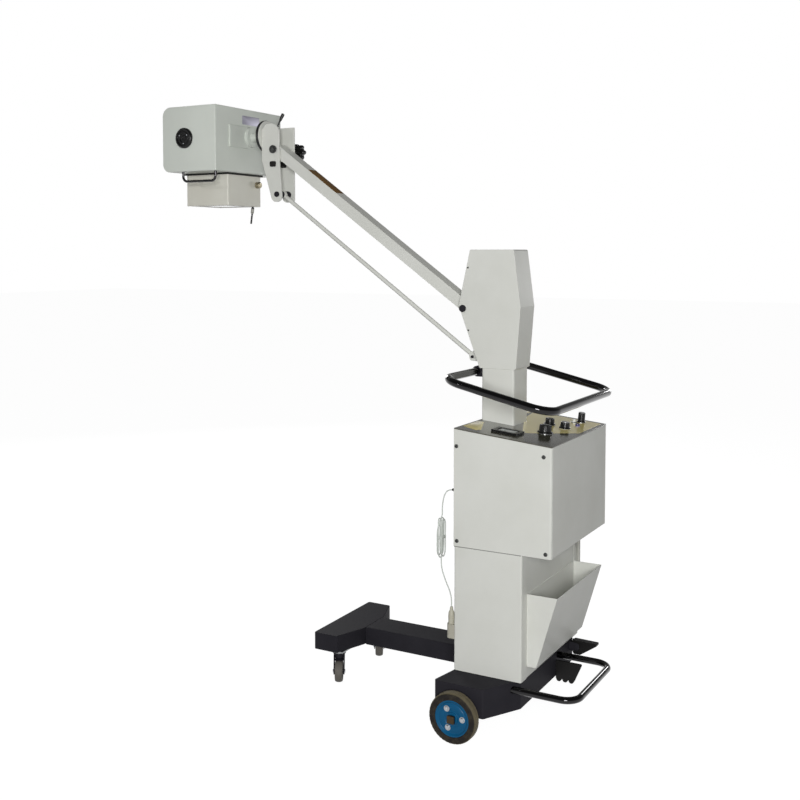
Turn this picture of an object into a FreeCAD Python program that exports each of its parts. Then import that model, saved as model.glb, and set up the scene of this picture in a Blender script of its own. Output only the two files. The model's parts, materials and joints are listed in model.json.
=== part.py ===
# Mobile x-ray machine: a wheeled steel base, a sheet-metal column with a cassette bin, a control box,
# a square mast, and a counterbalanced parallelogram arm that carries the x-ray head level.
# Millimetres. X runs rearwards to the operator, Y across, Z up from the floor. The origin is on the
# floor in the middle of the machine's length and width. The near side is -Y, the far side +Y.
import FreeCAD, Part
import math
import os
from collections import namedtuple
from types import SimpleNamespace

import Sketcher
from FreeCAD import Placement, Rotation, Vector

doc = FreeCAD.newDocument("mobile_xray_machine")

# Driving dimensions: name, millimetres or degrees, meaning
SIZES = (
    ("axle_x", 477.2, "rear axle behind the origin"),
    ("seat_gap", 0.3, "gap between seated pieces"),
    ("running_gap", 0.05, "radial clearance of a turning fit"),
    ("sheet", 2, "sheet metal of the casings"),
    ("casing_round", 6, "outer bend radius of the casings"),

    ("wheel_dia", 160, "rear wheel over the tyre"),
    ("wheel_width", 32, "rear wheel tyre"),
    ("wheel_track", 812, "over the outer faces of the rear wheels"),
    ("tyre_shoulder", 7, "tyre edge radius"),
    ("disc_dia", 123, "wheel disc, the seat of the tyre"),
    ("disc_web", 8, "thickness of the wheel disc's web"),
    ("disc_rim", 5, "thickness of the wheel disc's rim"),
    ("disc_dish", 5, "web set in from the rim's edge"),
    ("hub_dia", 40, "wheel hub"),
    ("wheel_bolt_circle", 72, "pitch circle of the wheel bolts"),
    ("wheel_bolt_dia", 14, "wheel bolt head across its corners"),
    ("wheel_bolt_height", 5, "wheel bolt head"),
    ("wheel_bolts", 4, "bolts in a wheel"),
    ("axle_dia", 20, "rear stub axle"),
    ("axle_flange", 70, "stub axle flange, square"),
    ("axle_flange_thick", 8, "stub axle flange"),
    ("axle_nut", 24, "square axle nut across flats"),
    ("axle_nut_thick", 9, "axle nut"),

    ("deck_z", 172, "top of the base"),
    ("plate", 6, "steel plate of the base"),
    ("cross_low", 79, "underside of the rear cross-member"),
    ("cross_clear", 45, "cross-member's end inside the wheel's outer face"),
    ("cross_end", 170, "rear cross-member's ends, front to rear"),
    ("cross_rear", 157, "rear face behind the axle"),
    ("cross_rear_width", 468, "straight part of the rear face"),
    ("cross_round", 8, "corner radius of the base's plan"),
    ("spine_width", 124, "spine beam"),
    ("spine_low", 109, "underside of the spine beam"),
    ("beam_front", 650, "front crossbeam's front face ahead of the axle"),
    ("beam_rear", 515, "front crossbeam's rear face ahead of the axle"),
    ("beam_end", 557, "rear edge of the crossbeam's ends ahead of the axle"),
    ("beam_width", 380, "front crossbeam, end to end"),
    ("beam_low", 112, "underside of the front crossbeam"),

    ("caster_ahead", 575, "caster stems ahead of the axle"),
    ("caster_spacing", 282, "between the caster stems"),
    ("caster_turn", 28.5, "casters' swing at rest"),
    ("caster_dia", 75, "caster wheel"),
    ("caster_width", 28, "caster tyre"),
    ("caster_hub_dia", 52, "caster wheel's hub"),
    ("caster_trail", 22, "caster axle behind its stem"),
    ("caster_axle_dia", 10, "caster axle"),
    ("fork_gap", 2, "between caster wheel and fork"),
    ("fork_thick", 3, "fork plate"),
    ("caster_plate", 64, "caster top plate, square"),
    ("caster_plate_thick", 5, "caster top plate"),
    ("bearing_dia", 46, "caster swivel bearing"),
    ("bearing_height", 8, "caster swivel bearing"),
    ("stem_dia", 12, "caster swivel stem"),

    ("foot_bar_dia", 22, "foot bar tube"),
    ("foot_bar_wall", 2, "foot bar tube wall"),
    ("foot_bar_rear", 345, "foot bar's rear run behind the axle"),
    ("foot_bar_near", 258, "near leg from the middle"),
    ("foot_bar_far", 91, "far leg from the middle"),
    ("foot_bar_z", 147, "foot bar's height"),
    ("foot_bar_bend", 50, "foot bar's bend radius"),
    ("foot_bar_root", 22, "length held inside the cross-member"),
    ("cleat_y", 75, "cable cleat from the middle"),
    ("cleat_thick", 8, "cable cleat"),
    ("cleat_reach", 93, "cable cleat behind the cross-member, at its top"),
    ("cleat_top", 134, "cable cleat's top"),
    ("cleat_low", 72, "foot of the cleat's lobes"),
    ("cleat_lobes", 3, "lobes under the cleat"),
    ("cleat_lobe", 22, "lobe pitch"),
    ("pedal_x", 180, "brake pedal's pivot behind the axle"),
    ("pedal_y", 222, "brake pedal's middle"),
    ("pedal_z", 140, "brake pedal's pivot"),
    ("pedal_width", 26, "brake pedal"),
    ("pedal_reach", 73, "brake pedal's tip behind its pivot"),
    ("pedal_pin_dia", 10, "brake pedal's pin"),
    ("pedal_ear", 5, "ears that hold the pedal's pin"),

    ("case_width", 516, "column and control box, side to side"),
    ("column_front", 66, "column's front face ahead of the axle"),
    ("column_rear", 168, "column's rear face behind the axle"),
    ("column_flange", 46, "rear flanges of the column"),
    ("bin_low", 210, "cassette bin's floor"),
    ("bin_top", 442, "cassette bin's rim"),
    ("bin_foot", 31, "cassette bin's depth at its floor"),
    ("bin_mouth", 100, "cassette bin's depth at its rim"),
    ("conduit_dia", 12, "cable conduit"),
    ("conduit_y", 240, "cable conduit from the middle"),
    ("conduit_low", 200, "conduit's lower elbow"),
    ("conduit_clip", 10, "conduit clips' height"),

    ("box_front", 68, "control box's front face ahead of the axle"),
    ("box_rear", 265, "control box's rear face behind the axle"),
    ("box_low", 575, "underside of the control box"),
    ("box_top", 956, "control box's top at its front edge"),
    ("box_slope", 5.8, "slope of the control panel, degrees"),
    ("tray_depth", 10, "side panels' folded edge"),
    ("tray_round", 8, "side panels' rounded rear edge"),
    ("panel_thick", 3, "control panel"),
    ("panel_edge", 1.5, "control panel's rounded edge"),

    ("mast_width", 117, "square mast"),
    ("mast_wall", 4, "mast wall"),
    ("mast_round", 8, "mast corner radius"),
    ("mast_front", 63.5, "mast's front face ahead of the axle"),
    ("mast_top", 1128, "top of the mast, foot of the spring housing"),
    ("housing_width", 120, "spring housing"),
    ("housing_sheet", 3, "spring housing plate"),
    ("housing_top", 1523, "spring housing's top"),
    ("housing_waist", 1335, "height of the housing's widest part"),
    ("housing_foot_front", 71, "housing's foot ahead of the axle"),
    ("housing_foot_rear", 60, "housing's foot behind the axle"),
    ("housing_waist_front", 149, "housing's widest part ahead of the axle"),
    ("housing_waist_rear", 76, "housing's widest part behind the axle"),
    ("housing_top_front", 108, "housing's top ahead of the axle"),
    ("housing_top_rear", 51, "housing's top behind the axle"),
    ("housing_round", 6, "housing's edge radius"),
    ("slot_low", 1286, "foot of the arm's slot"),
    ("slot_high", 1382, "head of the arm's slot"),
    ("spring_dia", 70, "balance spring cartridge"),
    ("spring_low", 700, "seat of the balance spring cartridge"),
    ("spring_height", 360, "balance spring cartridge"),

    ("handle_dia", 26, "push handle tube"),
    ("handle_wall", 2, "push handle tube wall"),
    ("handle_front", 89, "push handle's front run ahead of the axle"),
    ("handle_rear", 272, "push handle's rear run behind the axle"),
    ("handle_front_z", 1115, "height of the front run"),
    ("handle_rear_z", 1032, "height of the rear run"),
    ("handle_width", 600, "push handle, centre to centre"),
    ("handle_bend", 65, "push handle's bend radius"),
    ("clamp_width", 84, "handle clamp"),
    ("clamp_wall", 5, "handle clamp round the tube"),

    ("arm_x", 133, "arm pivot ahead of the axle"),
    ("arm_z", 1326, "arm pivot's height"),
    ("arm_length", 972, "arm, pivot to pivot"),
    ("arm_angle", 35.8, "arm above the horizontal at rest"),
    ("arm_height", 39, "arm section"),
    ("arm_width", 56, "arm section"),
    ("arm_wall", 3, "arm tube wall"),
    ("arm_boss", 32, "solid length at each end of the arm"),
    ("arm_pin_dia", 16, "arm pivot pins"),
    ("link_x", 118, "link rod pivot ahead of the axle"),
    ("link_z", 1160, "link rod pivot's height"),
    ("link_dia", 15, "link rod"),
    ("link_eye_dia", 26, "link rod eye"),
    ("link_eye_width", 16, "link rod eye"),
    ("link_pin_dia", 10, "link rod pins"),
    ("lug_thick", 5, "lugs at the link rod's foot"),
    ("pin_head", 6, "pin and bolt heads"),

    ("yoke_gap", 66, "between the head bracket's plates"),
    ("yoke_plate", 6, "head bracket plate"),
    ("yoke_front", 54, "bracket plates ahead of the upper pivot"),
    ("yoke_rear", 25, "bracket plates behind the upper pivot"),
    ("yoke_top", 96, "top of the near bracket plate, above the upper pivot"),
    ("yoke_far_top", 85, "top of the far bracket plate, above the upper pivot"),
    ("yoke_far_rear", 42, "far bracket plate behind the upper pivot"),
    ("yoke_foot", 28, "end radius round the lower pivot"),
    ("block_rear", 24, "bracket block's rear face ahead of the upper pivot"),
    ("block_low", 10, "underside of the bracket block, above the upper pivot"),
    ("block_high", 71, "top of the bracket block, above the upper pivot"),
    ("knob_stud_dia", 12, "star knob's stud"),
    ("knob_stud", 95, "star knob's stud beyond the far plate"),
    ("star_dia", 66, "star knob over its lobes"),
    ("star_thick", 24, "star knob"),
    ("star_lobes", 7, "lobes of the star knob"),
    ("star_lobe_dia", 18, "one lobe"),

    ("lever_y", 24, "roll lock lever from the middle"),
    ("lever_hub_dia", 18, "roll lock lever's hub"),
    ("lever_hub_height", 13, "roll lock lever's hub"),
    ("lever_rod_dia", 6, "roll lock lever's rod"),
    ("lever_grip_dia", 12, "roll lock lever's grip"),
    ("lever_length", 52, "roll lock lever above its hub"),
    ("lever_lean", 12, "roll lock lever's lean, degrees"),

    ("roll_z", 53, "height of the head's roll axis, above the upper pivot"),
    ("turntable_dia", 118, "roll bearing plate"),
    ("turntable_thick", 14, "roll bearing plate"),
    ("trunnion_dia", 36, "trunnion shaft"),
    ("collar_dia", 74, "trunnion collar on the head"),
    ("collar_thick", 12, "trunnion collar"),
    ("head_rear", 140, "head's rear face ahead of the upper pivot"),
    ("head_front", 389, "head's front face ahead of the upper pivot"),
    ("head_low", 83, "head's underside, below the upper pivot"),
    ("head_top", 157, "head's top, above the upper pivot"),
    ("head_width", 408, "head, side to side"),
    ("head_wall", 2.5, "head casing"),
    ("head_chamfer_top", 24, "front top bevel"),
    ("head_chamfer_low", 15, "front lower bevel"),
    ("lid_thick", 6, "head's lid"),
    ("pad_width", 250, "raised pad on the head's rear face"),
    ("pad_low", 10, "pad's lower edge, above the upper pivot"),
    ("pad_high", 91, "pad's upper edge, above the upper pivot"),
    ("pad_thick", 6, "pad"),
    ("cap_dia", 75, "round cap on the near face"),
    ("cap_ahead", 283, "cap's middle ahead of the upper pivot"),
    ("cap_z", 40, "cap's middle, above the upper pivot"),
    ("cap_thick", 11, "cap"),
    ("grip_front", 305, "head handle's front leg ahead of the upper pivot"),
    ("grip_rear", 153, "head handle's rear leg ahead of the upper pivot"),
    ("grip_z", 119, "head handle's lower run, below the upper pivot"),
    ("grip_inset", 16, "head handle inside the head's side"),
    ("grip_dia", 8, "head handle's rod"),
    ("grip_bend", 14, "head handle's bend radius"),

    ("gasket_thick", 6, "gasket between the head and the collimator"),
    ("light_front", 362, "collimator's front face ahead of the upper pivot"),
    ("light_rear", 164, "collimator's rear face ahead of the upper pivot"),
    ("light_width", 204, "collimator, side to side"),
    ("light_low", 205, "collimator's underside, below the upper pivot"),
    ("light_wall", 3, "collimator casing"),
    ("light_round", 5, "collimator's edge radius"),
    ("window_size", 130, "beam window, square"),
    ("window_thick", 4, "beam window"),
    ("dial_y", 72, "field knob from the middle"),
    ("dial_z", 122, "field knob's height, below the upper pivot"),
    ("dial_dia", 24, "field knob"),
    ("dial_height", 22, "field knob"),
    ("dial_stem", 8, "shafts of the knobs"),
    ("shutter_x", 183, "shutter lever ahead of the upper pivot"),
    ("shutter_y", 78, "shutter lever from the middle"),
    ("shutter_length", 66, "shutter lever below the collimator"),
    ("shutter_lean", 8, "shutter lever's lean, degrees"),
    ("shutter_pin_dia", 5, "shutter lever's pin"),
    ("shutter_ear", 3, "ears that hold the shutter lever's pin"),
    ("shutter_dia", 7, "shutter lever's rod"),
    ("shutter_sleeve", 12, "shutter lever's sleeve"),

    ("main_knob_x", 169, "line voltage knob behind the axle"),
    ("main_knob_y", 73, "line voltage knob from the middle"),
    ("voltage_knob_x", 130, "tube voltage knob behind the axle"),
    ("voltage_knob_y", 67, "tube voltage knob from the middle"),
    ("current_knob_x", 190, "tube current knob behind the axle"),
    ("current_knob_y", 51, "tube current knob from the middle"),
    ("timer_x", 192, "timer knob behind the axle"),
    ("timer_y", 204, "timer knob from the middle"),
    ("button_x", 176, "power button behind the axle"),
    ("button_y", 177, "power button from the middle"),
    ("lamp_x", 206, "pilot lamp behind the axle"),
    ("lamp_y", 130, "pilot lamp from the middle"),
    ("meter_x", 81, "meter behind the axle"),
    ("meter_y", 171, "meter from the middle"),
    ("main_knob_dia", 50, "line voltage knob"),
    ("main_knob_height", 26, "line voltage knob"),
    ("small_knob_dia", 38, "voltage and current knobs"),
    ("small_knob_height", 22, "voltage and current knobs"),
    ("timer_dia", 30, "timer knob"),
    ("timer_height", 34, "timer knob"),
    ("button_dia", 16, "power button"),
    ("button_height", 12, "power button above the panel"),
    ("lamp_dia", 16, "pilot lamp"),
    ("lamp_height", 9, "pilot lamp above the panel"),
    ("meter_length", 92, "meter frame along the panel"),
    ("meter_width", 62, "meter frame across the panel"),
    ("meter_height", 7, "meter frame above the panel"),
    ("meter_border", 13, "meter frame round the window"),
    ("meter_depth", 40, "meter below the panel"),

    ("core_length", 150, "autotransformer core, front to rear"),
    ("core_width", 170, "autotransformer core, side to side"),
    ("core_height", 190, "autotransformer core"),
    ("core_limb", 38, "autotransformer core limbs"),
    ("board_width", 420, "relay board"),
    ("board_height", 240, "relay board"),
    ("tube_dia", 76, "x-ray tube insert"),
    ("tube_length", 190, "x-ray tube insert"),
    ("generator_width", 90, "high voltage transformer"),

    ("cord_dia", 4, "hand switch cord"),
    ("cord_y", 238, "hand switch cord from the middle"),
    ("grommet_dia", 14, "cord grommet"),
    ("grommet_z", 752, "cord exit's height"),
    ("grommet_length", 14, "cord grommet ahead of the box"),
    ("switch_dia", 22, "hand switch"),
    ("switch_x", 84, "hand switch ahead of the axle"),
    ("switch_low", 272, "hand switch's foot in its holder"),
    ("switch_length", 98, "hand switch"),
    ("trigger_dia", 9, "exposure button"),
    ("trigger_height", 6, "exposure button below the switch's end"),
    ("trigger_travel", 5, "room above the exposure button"),
    ("holder_wall", 2.5, "hand switch holder"),
    ("holder_height", 46, "hand switch holder"),
)


# Sizes and formulas: plain arithmetic on the sheet's cells, kept as a formula for the document to follow

def text(size):
    return size.formula if isinstance(size, Size) else repr(float(size))


def value(size):
    return size.value if isinstance(size, Size) else float(size)


class Size:
    """A length or an angle: the formula that binds it to the sheet, and its value now."""

    def __init__(self, formula, number):
        self.formula = formula
        self.value = float(number)

    def __add__(self, other):
        return Size(f"({text(self)} + {text(other)})", value(self) + value(other))

    def __sub__(self, other):
        return Size(f"({text(self)} - {text(other)})", value(self) - value(other))

    def __rsub__(self, other):
        return Size(f"({text(other)} - {text(self)})", value(other) - value(self))

    def __mul__(self, other):
        return Size(f"({text(self)} * {text(other)})", value(self) * value(other))

    def __truediv__(self, other):
        return Size(f"({text(self)} / {text(other)})", value(self) / value(other))

    def __neg__(self):
        return Size(f"(0 - {text(self)})", -value(self))

    __radd__ = __add__
    __rmul__ = __mul__


def cosine(angle):
    return Size(f"cos({text(angle)})", math.cos(math.radians(value(angle))))


def sine(angle):
    return Size(f"sin({text(angle)})", math.sin(math.radians(value(angle))))


def tangent(angle):
    return sine(angle) / cosine(angle)


sheet = doc.addObject("Spreadsheet::Sheet", "Sizes")
for row, (alias, number, meaning) in enumerate(SIZES, start=1):
    sheet.set(f"A{row}", meaning)
    sheet.set(f"B{row}", str(number))
    sheet.setAlias(f"B{row}", alias)
doc.recompute()
S = SimpleNamespace(**{alias: Size(f"Sizes.{alias}", number) for alias, number, _ in SIZES})


# Making solids

Round = namedtuple("Round", "x y radius")      # a full circle in an outline
sub_parts = []


def bind(item, prop, size):
    item.setExpression(prop, text(size))


def place(item, x=0, y=0, z=0, axis=None, angle=0):
    """Stand a sub-part at a point, turned about one axis."""
    if axis is not None:
        item.Placement = Placement(Vector(), Rotation(Vector(*axis), value(angle)))
        bind(item, "Placement.Rotation.Angle", angle)
    for name, size in zip("xyz", (x, y, z)):
        bind(item, f"Placement.Base.{name}", size)
    return item


def keep(label, item):
    """Name a finished sub-part and list it for writing."""
    item.Label = label
    sub_parts.append(item)
    return item


def corner_arc(before, corner, after, radius):
    """The tangent arc that rounds one corner, its ends, and whether it runs along the outline."""
    back = (before - corner).normalize()
    ahead = (after - corner).normalize()
    half = back.getAngle(ahead) / 2
    reach = corner + back * (radius / math.tan(half))
    leave = corner + ahead * (radius / math.tan(half))
    centre = corner + (back + ahead).normalize() * (radius / math.sin(half))
    forward = back.cross(ahead).z < 0
    first, last = (reach, leave) if forward else (leave, reach)
    angles = [math.atan2(point.y - centre.y, point.x - centre.x) for point in (first, last)]
    arc = Part.ArcOfCircle(Part.Circle(centre, Vector(0, 0, 1), radius), *angles)
    return reach, leave, arc, forward


def draw(sketch, outline):
    """A closed outline of corners (x, y) or (x, y, radius), each bound to its sizes."""
    def fix(geometry, point, x, y):
        for kind, size in (("DistanceX", x), ("DistanceY", y)):
            index = sketch.addConstraint(Sketcher.Constraint(kind, -1, 1, geometry, point, value(size)))
            sketch.setExpression(f"Constraints[{index}]", text(size))

    def set_radius(geometry, radius):
        index = sketch.addConstraint(Sketcher.Constraint("Radius", geometry, value(radius)))
        sketch.setExpression(f"Constraints[{index}]", text(radius))

    if isinstance(outline, Round):
        centre = Vector(value(outline.x), value(outline.y), 0)
        ring = sketch.addGeometry(Part.Circle(centre, Vector(0, 0, 1), value(outline.radius)))
        set_radius(ring, outline.radius)
        fix(ring, 3, outline.x, outline.y)
        return
    points = [Vector(value(corner[0]), value(corner[1]), 0) for corner in outline]
    count = len(points)
    rounds = []
    for index, corner in enumerate(outline):
        if len(corner) > 2:
            rounds.append(corner_arc(points[index - 1], points[index], points[(index + 1) % count],
                                     value(corner[2])))
        else:
            rounds.append((points[index], points[index], None, True))
    lines = []
    for index in range(count):
        start = rounds[index][1]
        end = rounds[(index + 1) % count][0]
        lines.append(sketch.addGeometry(Part.LineSegment(start, end)))
    for index, corner in enumerate(outline):
        arriving, leaving = lines[index - 1], lines[index]
        arc, forward = rounds[index][2:]
        if arc is None:
            sketch.addConstraint(Sketcher.Constraint("Coincident", arriving, 2, leaving, 1))
            fix(leaving, 1, corner[0], corner[1])
            continue
        bend = sketch.addGeometry(arc)
        first, last = (1, 2) if forward else (2, 1)
        sketch.addConstraint(Sketcher.Constraint("Tangent", arriving, 2, bend, first))
        sketch.addConstraint(Sketcher.Constraint("Tangent", leaving, 1, bend, last))
        set_radius(bend, corner[2])
        point = sketch.addGeometry(Part.Point(points[index]), True)
        sketch.addConstraint(Sketcher.Constraint("PointOnObject", point, 1, arriving))
        sketch.addConstraint(Sketcher.Constraint("PointOnObject", point, 1, leaving))
        fix(point, 1, corner[0], corner[1])


def new_body(label):
    return doc.addObject("PartDesign::Body", label)


def new_sketch(body, plane, outlines, offset=0):
    sketch = body.newObject("Sketcher::SketchObject", f"{body.Name}_outline")
    support = next(item for item in body.Origin.OriginFeatures if item.Role == f"{plane}_Plane")
    sketch.AttachmentSupport = (support, [""])
    sketch.MapMode = "FlatFace"
    bind(sketch, "AttachmentOffset.Base.z", offset)
    for outline in outlines:
        draw(sketch, outline)
    return sketch


def pad(body, plane, outlines, low, high):
    """Raise outlines between two stations. The XZ plane faces -Y, so its stations are turned round."""
    feature = body.newObject("PartDesign::Pad", f"{body.Name}_pad")
    feature.Profile = new_sketch(body, plane, outlines, -high if plane == "XZ" else low)
    bind(feature, "Length", high - low)
    return feature


def pocket(body, plane, outlines, low, high):
    """Cut outlines between two stations."""
    feature = body.newObject("PartDesign::Pocket", f"{body.Name}_pocket")
    feature.Profile = new_sketch(body, plane, outlines, -low if plane == "XZ" else high)
    bind(feature, "Length", high - low)
    return feature


def prism(label, plane, outlines, low, high):
    body = new_body(label)
    pad(body, plane, outlines, low, high)
    return body


def turned(label, plane, axis, outline):
    """A body turned about a sketch axis: H_Axis is the plane's first direction, V_Axis its second."""
    body = new_body(label)
    sketch = new_sketch(body, plane, [outline])
    feature = body.newObject("PartDesign::Revolution", f"{label}_turn")
    feature.Profile = sketch
    feature.ReferenceAxis = (sketch, [axis])
    feature.Angle = 360
    return body


def repeat(body, feature, axis_role, count):
    """Repeat a feature round one of the body's own axes."""
    pattern = body.newObject("PartDesign::PolarPattern", f"{body.Name}_pattern")
    pattern.Originals = [feature]
    axis = next(item for item in body.Origin.OriginFeatures if item.Role == axis_role)
    pattern.Axis = (axis, [""])
    pattern.Angle = 360
    bind(pattern, "Occurrences", count)
    body.Tip = pattern
    return pattern


def block(label, x, y, z):
    """A block between (low, high) pairs."""
    item = doc.addObject("Part::Box", label)
    for prop, (low, high) in zip(("Length", "Width", "Height"), (x, y, z)):
        bind(item, prop, high - low)
    return place(item, x[0], y[0], z[0])


def cylinder(label, radius, height, x, y, z, axis="z"):
    """A cylinder that starts at a point and runs along +X, +Y or +Z."""
    item = doc.addObject("Part::Cylinder", label)
    bind(item, "Radius", radius)
    bind(item, "Height", height)
    direction = {"x": Vector(1, 0, 0), "y": Vector(0, 1, 0), "z": Vector(0, 0, 1)}[axis]
    item.Placement = Placement(Vector(), Rotation(Vector(0, 0, 1), direction))
    for name, size in zip("xyz", (x, y, z)):
        bind(item, f"Placement.Base.{name}", size)
    return item


def cut(label, base, *tools):
    item = doc.addObject("Part::Cut", label)
    item.Base = base
    item.Tool = tools[0] if len(tools) == 1 else join(f"{label}_tools", *tools)
    return item


def join(label, *items):
    item = doc.addObject("Part::MultiFuse", label)
    item.Shapes = list(items)
    item.Refine = True
    return item


def group(label, *items):
    """Separate like pieces that share one name."""
    item = doc.addObject("Part::Compound", label)
    item.Links = list(items)
    return item


def path_wire(points, bends):
    """Straight runs joined by tangent arcs, one bend radius for each inner point."""
    edges = []
    start = points[0]
    for index in range(1, len(points) - 1):
        corner = points[index]
        back = (points[index - 1] - corner).normalize()
        ahead = (points[index + 1] - corner).normalize()
        half = back.getAngle(ahead) / 2
        radius = bends[index - 1]
        reach = corner + back * (radius / math.tan(half))
        leave = corner + ahead * (radius / math.tan(half))
        middle = corner + (back + ahead).normalize() * (radius / math.sin(half) - radius)
        edges.append(Part.LineSegment(start, reach).toShape())
        edges.append(Part.Arc(reach, middle, leave).toShape())
        start = leave
    edges.append(Part.LineSegment(start, points[-1]).toShape())
    return Part.Wire(edges)


def tube_along(wire, radius):
    """A round bar swept along a wire."""
    start = wire.Edges[0]
    ring = Part.makeCircle(radius, start.valueAt(start.FirstParameter), start.tangentAt(start.FirstParameter))
    solid = wire.makePipeShell([Part.Wire([ring])], True, False)
    return solid if solid.Volume > 0 else solid.reversed()


def shaped(label, shape):
    """A sub-part whose shape is worked out from the sheet's values."""
    item = doc.addObject("Part::Feature", label)
    item.Shape = shape
    return item


def millimetres(*sizes):
    return Vector(*[value(size) for size in sizes])


AXLE = S.axle_x
GAP = S.seat_gap

# Rear wheels: a dished steel disc with four bolt heads, and a solid rubber tyre pressed onto its rim.
# Each is drawn about its own axle with the outer side towards -Y, and the far one is turned round.
wheel_y = S.wheel_track / 2 - S.wheel_width / 2
disc_edge = S.wheel_width / 2 - 1
for side, sign, turn in (("near", -1, 0), ("far", 1, 180)):
    tyre = turned(f"tyre_{side}", "YZ", "H_Axis", [
        (-S.wheel_width / 2, S.disc_dia / 2),
        (-S.wheel_width / 2, S.wheel_dia / 2, S.tyre_shoulder),
        (S.wheel_width / 2, S.wheel_dia / 2, S.tyre_shoulder),
        (S.wheel_width / 2, S.disc_dia / 2)])
    web_outer = -disc_edge + S.disc_dish
    web_inner = web_outer + S.disc_web
    rim_inside = S.disc_dia / 2 - S.disc_rim
    disc = turned(f"wheel_disc_{side}", "YZ", "H_Axis", [
        (-disc_edge, S.axle_dia / 2 + S.running_gap),
        (-disc_edge, S.hub_dia / 2),
        (web_outer, S.hub_dia / 2),
        (web_outer, rim_inside - S.disc_dish),
        (-disc_edge, rim_inside),
        (-disc_edge, S.disc_dia / 2),
        (disc_edge, S.disc_dia / 2),
        (disc_edge, rim_inside),
        (web_inner, rim_inside - S.disc_dish),
        (web_inner, S.hub_dia / 2),
        (disc_edge, S.hub_dia / 2),
        (disc_edge, S.axle_dia / 2 + S.running_gap)])
    bolt_radius = S.wheel_bolt_dia / 2
    hexagon = [(S.wheel_bolt_circle / 2 + bolt_radius * cosine(60.0 * corner), bolt_radius * sine(60.0 * corner))
               for corner in range(6)]
    bolt = pad(disc, "XZ", [hexagon], web_outer - S.wheel_bolt_height, web_outer)
    repeat(disc, bolt, "Y_Axis", S.wheel_bolts)
    for item, label in ((tyre, f"tyre_{side}"), (disc, f"wheel_disc_{side}")):
        keep(label, place(item, AXLE, sign * wheel_y, S.wheel_dia / 2, (0, 0, 1), turn))

# Stub axles: a square flange on each end of the cross-member, the axle, and its square nut.
axles = []
nuts = []
cross_half = S.wheel_track / 2 - S.cross_clear
nut_inner = S.wheel_track / 2 + GAP
for side, sign in (("near", -1), ("far", 1)):
    def across(inner, outer, sign=sign):
        """A (low, high) pair on this side, from distances off the middle."""
        return (inner, outer) if sign > 0 else (-outer, -inner)
    half = S.axle_flange / 2
    flange = block(f"axle_flange_{side}", (AXLE - half, AXLE + half),
                   across(cross_half, cross_half + S.axle_flange_thick),
                   (S.wheel_dia / 2 - half, S.wheel_dia / 2 + half))
    shaft_span = across(cross_half + S.axle_flange_thick - 1, nut_inner)
    shaft = cylinder(f"axle_shaft_{side}", S.axle_dia / 2, shaft_span[1] - shaft_span[0],
                     AXLE, shaft_span[0], S.wheel_dia / 2, "y")
    axles.append(join(f"stub_axle_{side}", flange, shaft))
    half = S.axle_nut / 2
    nut = block(f"nut_{side}", (AXLE - half, AXLE + half), across(nut_inner, nut_inner + S.axle_nut_thick),
                (S.wheel_dia / 2 - half, S.wheel_dia / 2 + half))
    rounded = doc.addObject("Part::Chamfer", f"nut_bevel_{side}")
    rounded.Base = nut
    doc.recompute()
    rounded.Edges = [(index + 1, 2.0, 2.0) for index, edge in enumerate(nut.Shape.Edges)
                     if abs(edge.tangentAt(edge.FirstParameter).y) > 0.9]
    nuts.append(rounded)
keep("axle_nuts", group("axle_nuts", *nuts))

# Rear cross-member: a closed welded box with slanted ends, bored for the foot bar's two legs.
cross_tail = S.cross_end / 2
column_half = S.case_width / 2


def cross_outline(inset, radius):
    """The cross-member's plan, pulled in by an inset."""
    front = AXLE - S.column_front + inset
    rear = AXLE + S.cross_rear - inset
    corners = []
    for sign in (-1, 1):
        side = [(front, sign * (column_half - inset / 2)),
                (AXLE - cross_tail + inset, sign * (cross_half - inset), radius),
                (AXLE + cross_tail - inset / 2, sign * (cross_half - inset), radius),
                (rear, sign * (S.cross_rear_width / 2 - inset / 2), radius)]
        corners += side if sign < 0 else side[::-1]
    return corners


cross_box = prism("cross_box", "XY", [cross_outline(0, S.cross_round)], S.cross_low, S.deck_z)
cross_hollow = prism("cross_hollow", "XY", [cross_outline(S.plate, S.cross_round / 2)],
                     S.cross_low + S.plate, S.deck_z - S.plate)
leg_start = AXLE + S.cross_rear - S.foot_bar_root
bores = [cylinder(f"leg_bore_{name}", S.foot_bar_dia / 2 + S.running_gap, S.foot_bar_root * 2,
                  leg_start, y, S.foot_bar_z, "x")
         for name, y in (("near", -S.foot_bar_near), ("far", S.foot_bar_far))]

# Brake pedal: a wedge on a pin between two ears welded to the cross-member's rear face.
pedal_pivot = AXLE + S.pedal_x
pedal_back = AXLE + S.cross_rear
ear_inner = S.pedal_width / 2 + 1
ear_outline = [(pedal_back - 1, S.pedal_z - 16), (pedal_back - 1, S.pedal_z + 16),
               (pedal_pivot + 12, S.pedal_z + 12, 11), (pedal_pivot + 12, S.pedal_z - 12, 11)]
ears = [prism(f"pedal_ear_{name}", "XZ", [ear_outline], low, high) for name, low, high in (
    ("near", S.pedal_y - ear_inner - S.pedal_ear, S.pedal_y - ear_inner),
    ("far", S.pedal_y + ear_inner, S.pedal_y + ear_inner + S.pedal_ear))]
pedal_pin = cylinder("pedal_pin", S.pedal_pin_dia / 2, (ear_inner + S.pedal_ear + 2) * 2,
                     pedal_pivot, S.pedal_y - ear_inner - S.pedal_ear - 2, S.pedal_z, "y")
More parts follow.
